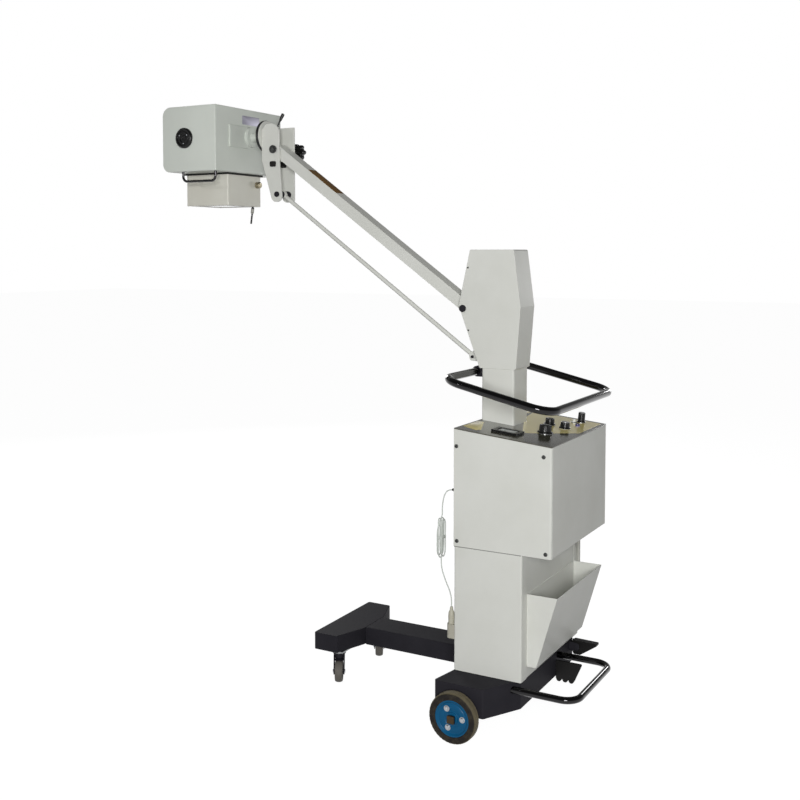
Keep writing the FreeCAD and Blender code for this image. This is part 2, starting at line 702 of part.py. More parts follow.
keep("brake_pedal", prism("brake_pedal", "XZ", [
    [(pedal_pivot - 17, S.pedal_z + 22, 8), (pedal_pivot + S.pedal_reach, S.pedal_z + 20, 3),
     (pedal_pivot + S.pedal_reach, S.pedal_z + 12, 3), (pedal_pivot + 14, S.pedal_z - 28, 5),
     (pedal_pivot - 10, S.pedal_z - 28, 5), (pedal_pivot - 17, S.pedal_z - 12, 8)],
    Round(pedal_pivot, S.pedal_z, S.pedal_pin_dia / 2 + S.running_gap)],
    S.pedal_y - S.pedal_width / 2, S.pedal_y + S.pedal_width / 2))
keep("rear_crossmember", join("rear_crossmember", cut("cross_shell", cross_box, cross_hollow, *bores),
                              *axles, *ears, pedal_pin))

# Spine: a rectangular tube from the front crossbeam to the cross-member.
spine_half = S.spine_width / 2


def tube_outline(half, low, high, radius):
    return [(-half, low, radius), (half, low, radius), (half, high, radius), (-half, high, radius)]


keep("spine_beam", prism("spine_beam", "YZ", [
    tube_outline(spine_half, S.spine_low, S.deck_z, S.plate),
    tube_outline(spine_half - S.plate, S.spine_low + S.plate, S.deck_z - S.plate, S.plate / 2)],
    AXLE - S.beam_rear, AXLE - S.column_front))

# Front crossbeam: a closed box with tapered ends; the casters are bolted under it.


def beam_outline(inset, radius):
    half = S.beam_width / 2 - inset
    neck = spine_half + S.plate - inset / 2
    front, end, rear = (AXLE - S.beam_front + inset, AXLE - S.beam_end - inset, AXLE - S.beam_rear - inset)
    return [(front, -half, radius), (end, -half, radius), (rear, -neck), (rear, neck),
            (end, half, radius), (front, half, radius)]


keep("front_crossbeam", cut("front_crossbeam",
     prism("beam_box", "XY", [beam_outline(0, S.cross_round)], S.beam_low, S.deck_z),
     prism("beam_hollow", "XY", [beam_outline(S.plate, S.cross_round / 2)],
           S.beam_low + S.plate, S.deck_z - S.plate)))

# Casters: top plate and swivel bearing, a pressed fork with its stem and axle, and the wheel.
# The fork and wheel are drawn about the stem, with the axle along X and the trail towards -Y.
caster_x = AXLE - S.caster_ahead
plate_low = S.beam_low - S.caster_plate_thick
bearing_low = plate_low - S.bearing_height
crown_top = bearing_low - GAP
crown_low = crown_top - S.fork_thick
leg_inner = S.caster_width / 2 + S.fork_gap
leg_outer = leg_inner + S.fork_thick
wheel_z = S.caster_dia / 2
mounts = []
for side, sign in (("near", -1), ("far", 1)):
    stem_y = sign * S.caster_spacing / 2
    half = S.caster_plate / 2
    top = block(f"caster_top_{side}", (caster_x - half, caster_x + half), (stem_y - half, stem_y + half),
                (plate_low, S.beam_low))
    ring = cylinder(f"caster_ring_{side}", S.bearing_dia / 2, S.bearing_height + 1, caster_x, stem_y, bearing_low)
    hole = cylinder(f"stem_hole_{side}", S.stem_dia / 2 + S.running_gap, S.bearing_height + S.caster_plate_thick,
                    caster_x, stem_y, bearing_low)
    mounts.append(cut(f"caster_mount_{side}", join(f"caster_mount_blank_{side}", top, ring), hole))

    crown = cylinder(f"fork_crown_{side}", S.bearing_dia / 2, S.fork_thick, 0, 0, crown_low)
    stem = cylinder(f"fork_stem_{side}", S.stem_dia / 2, S.bearing_height + S.caster_plate_thick,
                    0, 0, crown_top - 1)
    leg_outline = [(S.bearing_dia / 2 - 4, crown_top), (-S.bearing_dia / 2 - 4, crown_top, 12),
                   (-S.caster_trail - 14, wheel_z - 12, 11), (-S.caster_trail + 12, wheel_z - 12, 11)]
    legs = [prism(f"fork_leg_{side}_{name}", "YZ", [leg_outline], low, high)
            for name, low, high in (("left", -leg_outer, -leg_inner), ("right", leg_inner, leg_outer))]
    bridge = block(f"fork_bridge_{side}", (-leg_outer, leg_outer), (-S.bearing_dia / 2, S.bearing_dia / 2 - 4),
                   (crown_low, crown_top))
    bolt = cylinder(f"caster_axle_{side}", S.caster_axle_dia / 2, (leg_outer + 3) * 2,
                    -leg_outer - 3, -S.caster_trail, wheel_z, "x")
    fork = join(f"caster_fork_{side}", crown, stem, bridge, bolt, *legs)
    keep(f"caster_fork_{side}", place(fork, caster_x, stem_y, 0, (0, 0, 1), S.caster_turn))

    wheel = turned(f"caster_wheel_{side}", "XZ", "H_Axis", [
        (-S.caster_width / 2 - 1, S.caster_axle_dia / 2 + S.running_gap),
        (-S.caster_width / 2 - 1, S.caster_axle_dia),
        (-S.caster_width / 2 + 4, S.caster_axle_dia + 3),
        (-S.caster_width / 2 + 4, S.caster_hub_dia / 2 - 2),
        (-S.caster_width / 2, S.caster_hub_dia / 2),
        (-S.caster_width / 2, wheel_z, 6),
        (S.caster_width / 2, wheel_z, 6),
        (S.caster_width / 2, S.caster_hub_dia / 2),
        (S.caster_width / 2 - 4, S.caster_hub_dia / 2 - 2),
        (S.caster_width / 2 - 4, S.caster_axle_dia + 3),
        (S.caster_width / 2 + 1, S.caster_axle_dia),
        (S.caster_width / 2 + 1, S.caster_axle_dia / 2 + S.running_gap)])
    keep(f"caster_wheel_{side}",
         place(wheel, caster_x + S.caster_trail * sine(S.caster_turn),
               stem_y - S.caster_trail * cosine(S.caster_turn), wheel_z, (0, 0, 1), S.caster_turn))
keep("caster_mounts", group("caster_mounts", *mounts))

# Foot bar: one bent chrome tube whose two legs are held in the cross-member.
bar_points = [millimetres(leg_start, -S.foot_bar_near, S.foot_bar_z),
              millimetres(AXLE + S.foot_bar_rear, -S.foot_bar_near, S.foot_bar_z),
              millimetres(AXLE + S.foot_bar_rear, S.foot_bar_far, S.foot_bar_z),
              millimetres(leg_start, S.foot_bar_far, S.foot_bar_z)]
bar_wire = path_wire(bar_points, [value(S.foot_bar_bend)] * 2)
keep("foot_bar", shaped("foot_bar", tube_along(bar_wire, value(S.foot_bar_dia / 2)).cut(
    tube_along(bar_wire, value(S.foot_bar_dia / 2 - S.foot_bar_wall)))))

# Cable cleat: a black rubber plate on the cross-member's rear face, with lobes along its lower edge.
cleat_front = AXLE + S.cross_rear
cleat = new_body("cable_cleat")
pad(cleat, "XZ", [[(cleat_front, S.cleat_low), (cleat_front, S.cleat_top),
                   (cleat_front + S.cleat_reach, S.cleat_top, 4),
                   (cleat_front + S.cleat_lobe * S.cleat_lobes, S.cleat_low)]],
    S.cleat_y - S.cleat_thick / 2, S.cleat_y + S.cleat_thick / 2)
for lobe in range(int(value(S.cleat_lobes))):
    centre = cleat_front + S.cleat_lobe * (lobe + 0.5)
    pad(cleat, "XZ", [Round(centre, S.cleat_low, S.cleat_lobe * 0.42)],
        S.cleat_y - S.cleat_thick / 2, S.cleat_y + S.cleat_thick / 2)
keep("cable_cleat", cleat)

# Column: one folded sheet round the front and sides, turned in at the rear, with a rear panel behind
# the cassette bin.
column_front = AXLE - S.column_front
column_rear = AXLE + S.column_rear
flange_inner = column_half - S.column_flange
keep("column_shell", prism("column_shell", "XY", [[
    (column_front, -column_half, S.casing_round), (column_front, column_half, S.casing_round),
    (column_rear, column_half, S.casing_round), (column_rear, flange_inner),
    (column_rear - S.sheet, flange_inner), (column_rear - S.sheet, column_half - S.sheet, S.casing_round - S.sheet),
    (column_front + S.sheet, column_half - S.sheet, S.casing_round - S.sheet),
    (column_front + S.sheet, -column_half + S.sheet, S.casing_round - S.sheet),
    (column_rear - S.sheet, -column_half + S.sheet, S.casing_round - S.sheet),
    (column_rear - S.sheet, -flange_inner), (column_rear, -flange_inner),
    (column_rear, -column_half, S.casing_round)]], S.deck_z, S.box_low))
rear_panel_back = column_rear - S.sheet - GAP
keep("column_rear_panel", block("column_rear_panel", (rear_panel_back - S.sheet, rear_panel_back),
                                (-column_half + S.column_flange / 2, column_half - S.column_flange / 2),
                                (S.deck_z + GAP, S.box_low - GAP)))

# Cassette bin: a folded sheet pocket with a sloped front, open at the top.
bin_half = flange_inner - GAP
bin_back = rear_panel_back + GAP
bin_foot = column_rear + S.bin_foot
bin_mouth = column_rear + S.bin_mouth
slope_wall = S.sheet * 1.05
bin_body = new_body("cassette_bin")
pad(bin_body, "XZ", [[(bin_back, S.bin_low), (bin_foot, S.bin_low, S.casing_round), (bin_mouth, S.bin_top),
                      (bin_back, S.bin_top)]], -bin_half, bin_half)
pocket(bin_body, "XZ", [[(bin_back + S.sheet, S.bin_low + S.sheet),
                         (bin_foot - slope_wall, S.bin_low + S.sheet, S.casing_round - S.sheet),
                         (bin_mouth - slope_wall + (bin_mouth - bin_foot) * 0.05,
                          S.bin_top + (S.bin_top - S.bin_low) * 0.05),
                         (bin_back + S.sheet, S.bin_top + (S.bin_top - S.bin_low) * 0.05)]],
       -bin_half + S.sheet, bin_half - S.sheet)
keep("cassette_bin", bin_body)

# Cable conduit: a grey tube down the column's far rear flange, with a foot and two clips on the flange.
conduit_x = column_rear + S.conduit_dia / 2 + GAP
conduit_tube = cylinder("conduit_tube", S.conduit_dia / 2, S.box_low - S.conduit_low,
                        conduit_x, S.conduit_y, S.conduit_low)
clips = [block(f"conduit_clip_{name}", (column_rear, conduit_x + S.conduit_dia / 2 + 1),
               (S.conduit_y - S.conduit_dia / 2 - 1, S.conduit_y + S.conduit_dia / 2 + 1),
               (low, low + S.conduit_clip))
         for name, low in (("foot", S.conduit_low - S.conduit_clip / 2),
                           ("middle", (S.conduit_low + S.bin_top) / 2),
                           ("top", S.box_low - S.conduit_clip * 4))]
keep("cable_conduit", join("cable_conduit", conduit_tube, *clips))

# Control box: one folded sheet for the floor, front and rear, and a folded tray on each side.
# The top edge slopes down to the rear under the control panel.
box_front = AXLE - S.box_front
box_rear = AXLE + S.box_rear
slope = tangent(S.box_slope)
panel_drop = (S.panel_thick + GAP) / cosine(S.box_slope)
rim_front = S.box_top - panel_drop
rim_rear = rim_front - (box_rear - box_front) * slope
wrap_half = column_half - S.tray_depth - GAP
mast_front = AXLE - S.mast_front
mast_rear = mast_front + S.mast_width
mast_half = S.mast_width / 2
box = new_body("box_sheet")
pad(box, "XZ", [[(box_front, S.box_low, 4), (box_rear, S.box_low, 4), (box_rear, rim_rear), (box_front, rim_front)]],
    -wrap_half, wrap_half)
pocket(box, "XZ", [[(box_front + S.sheet, S.box_low + S.sheet, 2), (box_rear - S.sheet, S.box_low + S.sheet, 2),
                    (box_rear - S.sheet, S.box_top), (box_front + S.sheet, S.box_top)]], -wrap_half, wrap_half)
mast_hole = [(mast_front - GAP, -mast_half - GAP, S.mast_round), (mast_rear + GAP, -mast_half - GAP, S.mast_round),
             (mast_rear + GAP, mast_half + GAP, S.mast_round), (mast_front - GAP, mast_half + GAP, S.mast_round)]
pocket(box, "XY", [mast_hole], S.box_low, S.box_low + S.sheet)

trays = []
for side, sign in (("near", -1), ("far", 1)):
    def across(inner, outer, sign=sign):
        return (inner, outer) if sign > 0 else (-outer, -inner)
    outer_skin = across(column_half - S.tray_depth, column_half)
    inner_space = across(column_half - S.tray_depth, column_half - S.sheet)
    tray = new_body(f"side_tray_{side}")
    pad(tray, "XZ", [[(box_front, S.box_low), (box_rear, S.box_low), (box_rear, rim_rear), (box_front, rim_front)]],
        *outer_skin)
    doc.recompute()
    flat = tray.Tip
    fold = tray.newObject("PartDesign::Fillet", f"tray_fold_{side}")
    skin_y = sign * value(column_half)
    rear_x = value(box_rear)
    names = [f"Edge{index + 1}" for index, edge in enumerate(tray.Shape.Edges)
             if all(abs(v.Y - skin_y) < 0.01 and abs(v.X - rear_x) < 0.01 for v in edge.Vertexes)]
    fold.Base = (flat, names)
    bind(fold, "Radius", S.tray_round)
    pocket(tray, "XZ", [[(box_front + S.sheet, S.box_low + S.sheet), (box_rear - S.tray_round, S.box_low + S.sheet),
                         (box_rear - S.tray_round, rim_rear - S.sheet + S.tray_round * slope),
                         (box_front + S.sheet, rim_front - S.sheet * 1.2)]], *inner_space)
    trays.append(tray)
keep("box_side_panels", group("box_side_panels", *trays))

# Mast: a square tube from the base up through the column and the control box.
keep("mast_post", prism("mast_post", "XY", [
    [(mast_front, -mast_half, S.mast_round), (mast_rear, -mast_half, S.mast_round),
     (mast_rear, mast_half, S.mast_round), (mast_front, mast_half, S.mast_round)],
    [(mast_front + S.mast_wall, -mast_half + S.mast_wall, S.mast_round - S.mast_wall),
     (mast_rear - S.mast_wall, -mast_half + S.mast_wall, S.mast_round - S.mast_wall),
     (mast_rear - S.mast_wall, mast_half - S.mast_wall, S.mast_round - S.mast_wall),
     (mast_front + S.mast_wall, mast_half - S.mast_wall, S.mast_round - S.mast_wall)]],
    S.deck_z, S.mast_top))

# Control panel: a plate on the sloped rim. It is drawn flat, from the front edge rearwards with its
# face at zero, and so is everything on it; each is then stood on the slope.
panel_length = (box_rear - box_front) / cosine(S.box_slope)


def on_panel(item, along=0, y=0):
    """Stand a piece on the panel, a distance along it from the front edge."""
    return place(item, box_front + along * cosine(S.box_slope), y,
                 S.box_top - along * sine(S.box_slope), (0, 1, 0), S.box_slope)


def along_panel(behind_axle):
    """Distance along the panel of a point that lies this far behind the axle."""
    return (S.box_front + behind_axle) / cosine(S.box_slope)


knob_hole = S.dial_stem / 2 + S.running_gap
main_knob = (along_panel(S.main_knob_x), -S.main_knob_y)
voltage_knob = (along_panel(S.voltage_knob_x), S.voltage_knob_y)
current_knob = (along_panel(S.current_knob_x), S.current_knob_y)
timer_knob = (along_panel(S.timer_x), S.timer_y)
button_at = (along_panel(S.button_x), S.button_y)
lamp_at = (along_panel(S.lamp_x), S.lamp_y)
meter_at = (along_panel(S.meter_x), -S.meter_y)
hole_front = (S.box_front - S.mast_front) - 1
hole_rear = hole_front + S.mast_width / cosine(S.box_slope) + 2
meter_hole = [(meter_at[0] - S.meter_length / 2 + S.meter_border / 2, meter_at[1] - S.meter_width / 2 + S.meter_border / 2),
              (meter_at[0] + S.meter_length / 2 - S.meter_border / 2, meter_at[1] - S.meter_width / 2 + S.meter_border / 2),
              (meter_at[0] + S.meter_length / 2 - S.meter_border / 2, meter_at[1] + S.meter_width / 2 - S.meter_border / 2),
              (meter_at[0] - S.meter_length / 2 + S.meter_border / 2, meter_at[1] + S.meter_width / 2 - S.meter_border / 2)]
panel = new_body("panel_plate")
pad(panel, "XY", [[(0, -column_half, 2), (panel_length, -column_half, 4), (panel_length, column_half, 4),
                   (0, column_half, 2)]], -S.panel_thick, Size("0", 0))
pocket(panel, "XY", [
    [(hole_front, -mast_half - 1, S.mast_round), (hole_rear, -mast_half - 1, S.mast_round),
     (hole_rear, mast_half + 1, S.mast_round), (hole_front, mast_half + 1, S.mast_round)],
    meter_hole,
    *[Round(x, y, knob_hole) for x, y in (main_knob, voltage_knob, current_knob, timer_knob)],
    Round(*button_at, S.button_dia / 2 - 2), Round(*lamp_at, S.lamp_dia / 2 - 2)],
    -S.panel_thick, Size("0", 0))

# Meter: a dark frame with a window over its dial, and the movement's case under the panel.
frame_half = (S.meter_length / 2, S.meter_width / 2)


def panel_rectangle(half_length, half_width, *radius):
    return [(-half_length, -half_width, *radius), (half_length, -half_width, *radius),
            (half_length, half_width, *radius), (-half_length, half_width, *radius)]


meter = new_body("meter_frame")
pad(meter, "XY", [panel_rectangle(frame_half[0], frame_half[1], 3)], GAP, S.meter_height)
pad(meter, "XY", [panel_rectangle(frame_half[0] - S.meter_border / 2 - GAP, frame_half[1] - S.meter_border / 2 - GAP)],
    -S.meter_depth, GAP)
pocket(meter, "XY", [panel_rectangle(frame_half[0] - S.meter_border, frame_half[1] - S.meter_border)],
       -S.panel_thick, S.meter_height)
window = prism("meter_glass", "XY", [panel_rectangle(frame_half[0] - S.meter_border - GAP, frame_half[1] - S.meter_border - GAP)],
               -S.panel_thick + GAP, S.meter_height - 2)
keep("panel_meter", on_panel(group("panel_meter", meter, window), *meter_at))

# Knobs: a skirt and a fluted grip on a shaft through the panel.


def knob(label, spot, radius, height, flutes):
    body = turned(label, "XZ", "V_Axis", [
        (0, -S.panel_thick - 8), (S.dial_stem / 2, -S.panel_thick - 8), (S.dial_stem / 2, GAP * 2),
        (radius, GAP * 2), (radius, 5), (radius * 0.82, 7), (radius * 0.78, height, 2), (0, height)])
    doc.recompute()
    flute = pocket(body, "XY", [Round(radius * 0.88, 0, radius * 0.16)], Size("8", 8), height + 1)
    repeat(body, flute, "Z_Axis", flutes)
    return keep(label, on_panel(body, *spot))


knob("line_voltage_knob", main_knob, S.main_knob_dia / 2, S.main_knob_height, 10)
knob("tube_voltage_knob", voltage_knob, S.small_knob_dia / 2, S.small_knob_height, 8)
knob("tube_current_knob", current_knob, S.small_knob_dia / 2, S.small_knob_height, 8)
knob("timer_knob", timer_knob, S.timer_dia / 2, S.timer_height, 8)

button = turned("power_button", "XZ", "V_Axis", [
    (0, -S.panel_thick - 10), (S.button_dia / 2 - 2 - S.running_gap, -S.panel_thick - 10),
    (S.button_dia / 2 - 2 - S.running_gap, S.button_height, 2), (0, S.button_height)])
keep("power_button", on_panel(button, *button_at))
lamp = turned("pilot_lamp", "XZ", "V_Axis", [
    (0, -S.panel_thick - 14), (S.lamp_dia / 2 - 2 - S.running_gap, -S.panel_thick - 14),
    (S.lamp_dia / 2 - 2 - S.running_gap, GAP), (S.lamp_dia / 2, GAP), (S.lamp_dia / 2, S.lamp_height, 4),
    (0, S.lamp_height)])
place(lamp, lamp_at[0], lamp_at[1])
keep("control_panel", on_panel(group("control_panel", panel, lamp)))

# Inside: the autotransformer stands on the base inside the column, behind the mast, and the relay
# board is screwed to the control box's floor.
core_front = mast_rear + GAP * 2
core = new_body("transformer_core")
core_span = (core_front, rear_panel_back - S.sheet - GAP)
core_y = S.core_width / 2
pad(core, "YZ", [[(-core_y, S.deck_z + GAP), (core_y, S.deck_z + GAP), (core_y, S.deck_z + S.core_height),
                  (-core_y, S.deck_z + S.core_height)],
                 [(-core_y + S.core_limb, S.deck_z + S.core_limb), (core_y - S.core_limb, S.deck_z + S.core_limb),
                  (core_y - S.core_limb, S.deck_z + S.core_height - S.core_limb),
                  (-core_y + S.core_limb, S.deck_z + S.core_height - S.core_limb)]], *core_span)
coil_z = (S.deck_z + S.core_limb + GAP, S.deck_z + S.core_height - S.core_limb - GAP)
coils = [block(f"coil_{name}", core_span, (low, high), coil_z)
         for name, low, high in (("near", -core_y + S.core_limb + GAP, -GAP), ("far", GAP, core_y - S.core_limb - GAP))]
keep("autotransformer", group("autotransformer", core, *coils))
board = block("relay_board", (box_rear - S.sheet * 10, box_rear - S.sheet * 8),
              (-S.board_width / 2, S.board_width / 2), (S.box_low + S.sheet, S.box_low + S.sheet + S.board_height))
keep("control_box", join("control_box", box, board))

# Spring housing: two cheeks and a folded front and rear, on a plate on top of the mast. The arm
# swings in a slot in its front.
foot_front, foot_rear = AXLE - S.housing_foot_front, AXLE + S.housing_foot_rear
waist_front, waist_rear = AXLE - S.housing_waist_front, AXLE + S.housing_waist_rear
top_front, top_rear = AXLE - S.housing_top_front, AXLE + S.housing_top_rear
housing_half = S.housing_width / 2
shell = S.housing_sheet


def housing_outline(inset, *radius):
    return [(foot_front + inset, S.mast_top + inset, *radius), (foot_rear - inset, S.mast_top + inset, *radius),
            (waist_rear - inset, S.housing_waist, *radius), (top_rear - inset, S.housing_top - inset, *radius),
            (top_front + inset, S.housing_top - inset, *radius), (waist_front + inset, S.housing_waist, *radius)]


arm_x, link_x = AXLE - S.arm_x, AXLE - S.link_x
pin_radius = S.arm_pin_dia / 2
housing_blank = prism("housing_blank", "XZ", [housing_outline(0, S.housing_round)], -housing_half, housing_half)
housing_space = prism("housing_space", "XZ", [housing_outline(shell, S.housing_round / 2)],
                      -housing_half + shell, housing_half - shell)
arm_slot = block("arm_slot", (waist_front - 10, arm_x + S.arm_height / 2), (-S.arm_width / 2 - 2, S.arm_width / 2 + 2),
                 (S.slot_low, S.slot_high))
arm_pin_hole = cylinder("arm_pin_hole", pin_radius, S.housing_width + 2, arm_x, -housing_half - 1, S.arm_z, "y")
keep("spring_housing", cut("spring_housing", housing_blank, housing_space, arm_slot, arm_pin_hole))

# Lugs: two ears on the housing's sloped front that carry the link rod's foot.
lug_inner = S.link_eye_width / 2 + 0.5
front_run = (foot_front - waist_front) / (S.housing_waist - S.mast_top)


def housing_front_at(z):
    """The housing's lower front face at a height."""
    return foot_front - (z - S.mast_top) * front_run


lug_low, lug_high = S.link_z - 16, S.link_z + 30
lug_radius = S.link_eye_dia / 2 - 1
lug_outline = [(housing_front_at(lug_low), lug_low), (housing_front_at(lug_high), lug_high),
               (link_x - 13, S.link_z + 13, lug_radius), (link_x - 13, S.link_z - 13, lug_radius)]
lugs = [prism(f"lug_{name}", "XZ", [lug_outline], low, high) for name, low, high in (
    ("near", -lug_inner - S.lug_thick, -lug_inner), ("far", lug_inner, lug_inner + S.lug_thick))]
link_pin_half = lug_inner + S.lug_thick + S.pin_head
link_pin = cylinder("link_pin", S.link_pin_dia / 2, link_pin_half * 2, link_x, -link_pin_half, S.link_z, "y")
link_foot = join("link_foot", link_pin, *lugs)

# Arm pivot pin, with its head on the near cheek and a nut on the far one.
pin_length = S.housing_width + S.pin_head * 2
pin_shaft = cylinder("arm_pin_shaft", pin_radius, pin_length, arm_x, -housing_half - S.pin_head, S.arm_z, "y")
pin_heads = [cylinder(f"arm_pin_head_{name}", pin_radius * 1.5, S.pin_head, arm_x, y, S.arm_z, "y")
             for name, y in (("near", -housing_half - S.pin_head), ("far", housing_half))]
keep("arm_pivots", group("arm_pivots", link_foot, join("arm_pin", pin_shaft, *pin_heads)))

# Balance spring cartridge: it stands on a plate inside the mast.
mast_middle = (mast_front + mast_rear) / 2
seat_half = mast_half - S.mast_wall - GAP
seat_corner = S.mast_round - S.mast_wall + 2
spring_seat = prism("spring_seat", "XY", [
    [(mast_middle + x * seat_half, y * seat_half, seat_corner) for x, y in ((-1, -1), (1, -1), (1, 1), (-1, 1))]],
    S.spring_low - S.plate, S.spring_low + 1)
spring_tube = cylinder("spring_tube", S.spring_dia / 2, S.spring_height, mast_middle, 0, S.spring_low)
spring_rod = cylinder("spring_rod", S.spring_dia / 8, 60, mast_middle, 0, S.spring_low + S.spring_height - 1)
keep("balance_spring", join("balance_spring", spring_seat, spring_tube, spring_rod))

# Push handle: a bent chrome tube closed into a ring that tilts down to the rear. It is drawn level
# about the middle of its front run.
handle_run = AXLE + S.handle_rear - (AXLE - S.handle_front)
handle_fall = S.handle_front_z - S.handle_rear_z
handle_tilt = math.degrees(math.atan2(value(handle_fall), value(handle_run)))
ring_length = math.hypot(value(handle_fall), value(handle_run))
half = value(S.handle_width / 2)
halves = []
for sign in (-1, 1):
    ring_wire = path_wire([Vector(0, 0, 0), Vector(0, sign * half, 0), Vector(ring_length, sign * half, 0),
                           Vector(ring_length, 0, 0)], [value(S.handle_bend)] * 2)
    halves.append(tube_along(ring_wire, value(S.handle_dia / 2)).cut(
        tube_along(ring_wire, value(S.handle_dia / 2 - S.handle_wall))))
ring = halves[0].fuse(halves[1])
keep("push_handle", place(shaped("push_handle", ring.removeSplitter()), AXLE - S.handle_front, 0, S.handle_front_z,
                          (0, 1, 0), handle_tilt))

# Handle clamp: a block on the mast's front that closes round the handle's front run.
clamp_radius = S.handle_dia / 2 + S.clamp_wall
handle_x = AXLE - S.handle_front
clamp_half = S.clamp_width / 2
clamp_block = block("clamp_block", (handle_x, mast_front - GAP), (-clamp_half, clamp_half),
                    (S.handle_front_z - clamp_radius, S.mast_top - 1))
clamp_round = cylinder("clamp_round", clamp_radius, S.clamp_width, handle_x, -clamp_half, S.handle_front_z, "y")
clamp_bore = cylinder("clamp_bore", S.handle_dia / 2 + S.running_gap, S.clamp_width + 2,
                      handle_x, -clamp_half - 1, S.handle_front_z, "y")
keep("handle_clamp", cut("handle_clamp", join("clamp_blank", clamp_block, clamp_round), clamp_bore))

# Arm: a rectangular tube with solid bored ends, drawn level from its pivot forwards and raised.
arm_half, arm_side = S.arm_height / 2, S.arm_width / 2
arm = new_body("arm_tube")
pad(arm, "XZ", [[(-S.arm_length - arm_half, -arm_half, arm_half - 1), (arm_half, -arm_half, arm_half - 1),
                 (arm_half, arm_half, arm_half - 1), (-S.arm_length - arm_half, arm_half, arm_half - 1)],
                Round(0, 0, pin_radius + S.running_gap), Round(-S.arm_length, 0, pin_radius + S.running_gap)],
    -arm_side, arm_side)
arm_hollow = block("arm_hollow", (-S.arm_length + S.arm_boss, -S.arm_boss),
                   (-arm_side + S.arm_wall, arm_side - S.arm_wall), (-arm_half + S.arm_wall, arm_half - S.arm_wall))
keep("arm_beam", place(cut("arm_beam", arm, arm_hollow), arm_x, 0, S.arm_z, (0, 1, 0), S.arm_angle))

# Link rod: a round rod with a flat eye at each end, parallel to the arm.
eye_half, eye_radius = S.link_eye_width / 2, S.link_eye_dia / 2
link = join("link_blank",
            cylinder("link_bar", S.link_dia / 2, S.arm_length - eye_radius * 1.5, -S.arm_length + eye_radius * 0.75,
                     0, 0, "x"),
            *[cylinder(f"link_eye_{name}", eye_radius, S.link_eye_width, x, -eye_half, 0, "y")
              for name, x in (("foot", 0), ("head", -S.arm_length))])
link_bores = [cylinder(f"link_bore_{name}", S.link_pin_dia / 2 + S.running_gap, S.link_eye_width + 2,
                       x, -eye_half - 1, 0, "y") for name, x in (("foot", 0), ("head", -S.arm_length))]
keep("link_rod", place(cut("link_rod", link, *link_bores), link_x, 0, S.link_z, (0, 1, 0), S.arm_angle))

# Head bracket: two plates on the arm's and the link rod's head pivots, welded to a block that holds
# the roll bearing. The near plate has a round top; the far one is wider and square.
pivot_x = arm_x - S.arm_length * cosine(S.arm_angle)
pivot_z = S.arm_z + S.arm_length * sine(S.arm_angle)
lower_x = link_x - S.arm_length * cosine(S.arm_angle)
lower_z = S.link_z + S.arm_length * sine(S.arm_angle)
yoke_half = S.yoke_gap / 2
yoke_outer = yoke_half + S.yoke_plate
yoke_front, yoke_rear = pivot_x - S.yoke_front, pivot_x + S.yoke_rear
foot_half = S.yoke_foot * 0.8
upper_bore = Round(pivot_x, pivot_z, pin_radius)
lower_bore = Round(lower_x, lower_z, S.link_pin_dia / 2)
near_plate = prism("yoke_near", "XZ", [
    [(yoke_front, (pivot_z + S.yoke_top), 34), (yoke_rear, (pivot_z + S.yoke_top), 38), (yoke_rear, pivot_z - 40, 10),
     (lower_x + foot_half, lower_z - S.yoke_foot, foot_half - 2),
     (lower_x - foot_half, lower_z - S.yoke_foot, foot_half - 2), (yoke_front, pivot_z - 40, 10)],
    upper_bore, lower_bore], -yoke_outer, -yoke_half)
far_rear = pivot_x + S.yoke_far_rear
far_plate = prism("yoke_far", "XZ", [
    [(yoke_front, (pivot_z + S.yoke_far_top), 8), (far_rear, (pivot_z + S.yoke_far_top), 3), (far_rear, lower_z - S.yoke_foot, 10),
     (lower_x - foot_half, lower_z - S.yoke_foot, foot_half - 2), (yoke_front, pivot_z - 40, 10)],
    upper_bore, lower_bore], yoke_half, yoke_outer)
bearing_rear = yoke_front
block_solid = block("yoke_block", (bearing_rear, pivot_x - S.block_rear), (-yoke_half, yoke_half),
                    ((pivot_z + S.block_low), (pivot_z + S.block_high)))
keep("head_bracket", join("head_bracket", near_plate, far_plate, block_solid))

# Roll bearing plate: a disc on the bracket block's front face, bored for the head's trunnion.
disc_front = bearing_rear - S.turntable_thick
bearing_disc = turned("roll_bearing", "XZ", "H_Axis", [
    (0, S.trunnion_dia / 2 + S.running_gap), (0, S.turntable_dia / 2, 2),
    (S.turntable_thick, S.turntable_dia / 2, 2), (S.turntable_thick, S.trunnion_dia / 2 + S.running_gap)])
keep("roll_bearing", place(bearing_disc, disc_front, 0, (pivot_z + S.roll_z)))

# Bracket pins: the upper one carries the arm's head, the star knob's stud is its far end; the lower
# one carries the link rod.
stud_end = yoke_outer + S.knob_stud
upper_shaft = cylinder("upper_shaft", pin_radius, yoke_outer * 2 + S.pin_head, pivot_x, -yoke_outer - S.pin_head,
                       pivot_z, "y")
upper_head = cylinder("upper_head", pin_radius * 1.7, S.pin_head, pivot_x, -yoke_outer - S.pin_head, pivot_z, "y")
upper_nut = cylinder("upper_nut", pin_radius * 1.6, S.pin_head, pivot_x, yoke_outer, pivot_z, "y")
stud = cylinder("knob_stud", S.knob_stud_dia / 2, S.knob_stud, pivot_x, yoke_outer, pivot_z, "y")
lower_half = yoke_outer + S.pin_head
lower_shaft = cylinder("lower_shaft", S.link_pin_dia / 2, lower_half * 2, lower_x, -lower_half, lower_z, "y")
lower_heads = [cylinder(f"lower_head_{name}", S.link_pin_dia, S.pin_head, lower_x, y, lower_z, "y")
               for name, y in (("near", -lower_half), ("far", yoke_outer))]
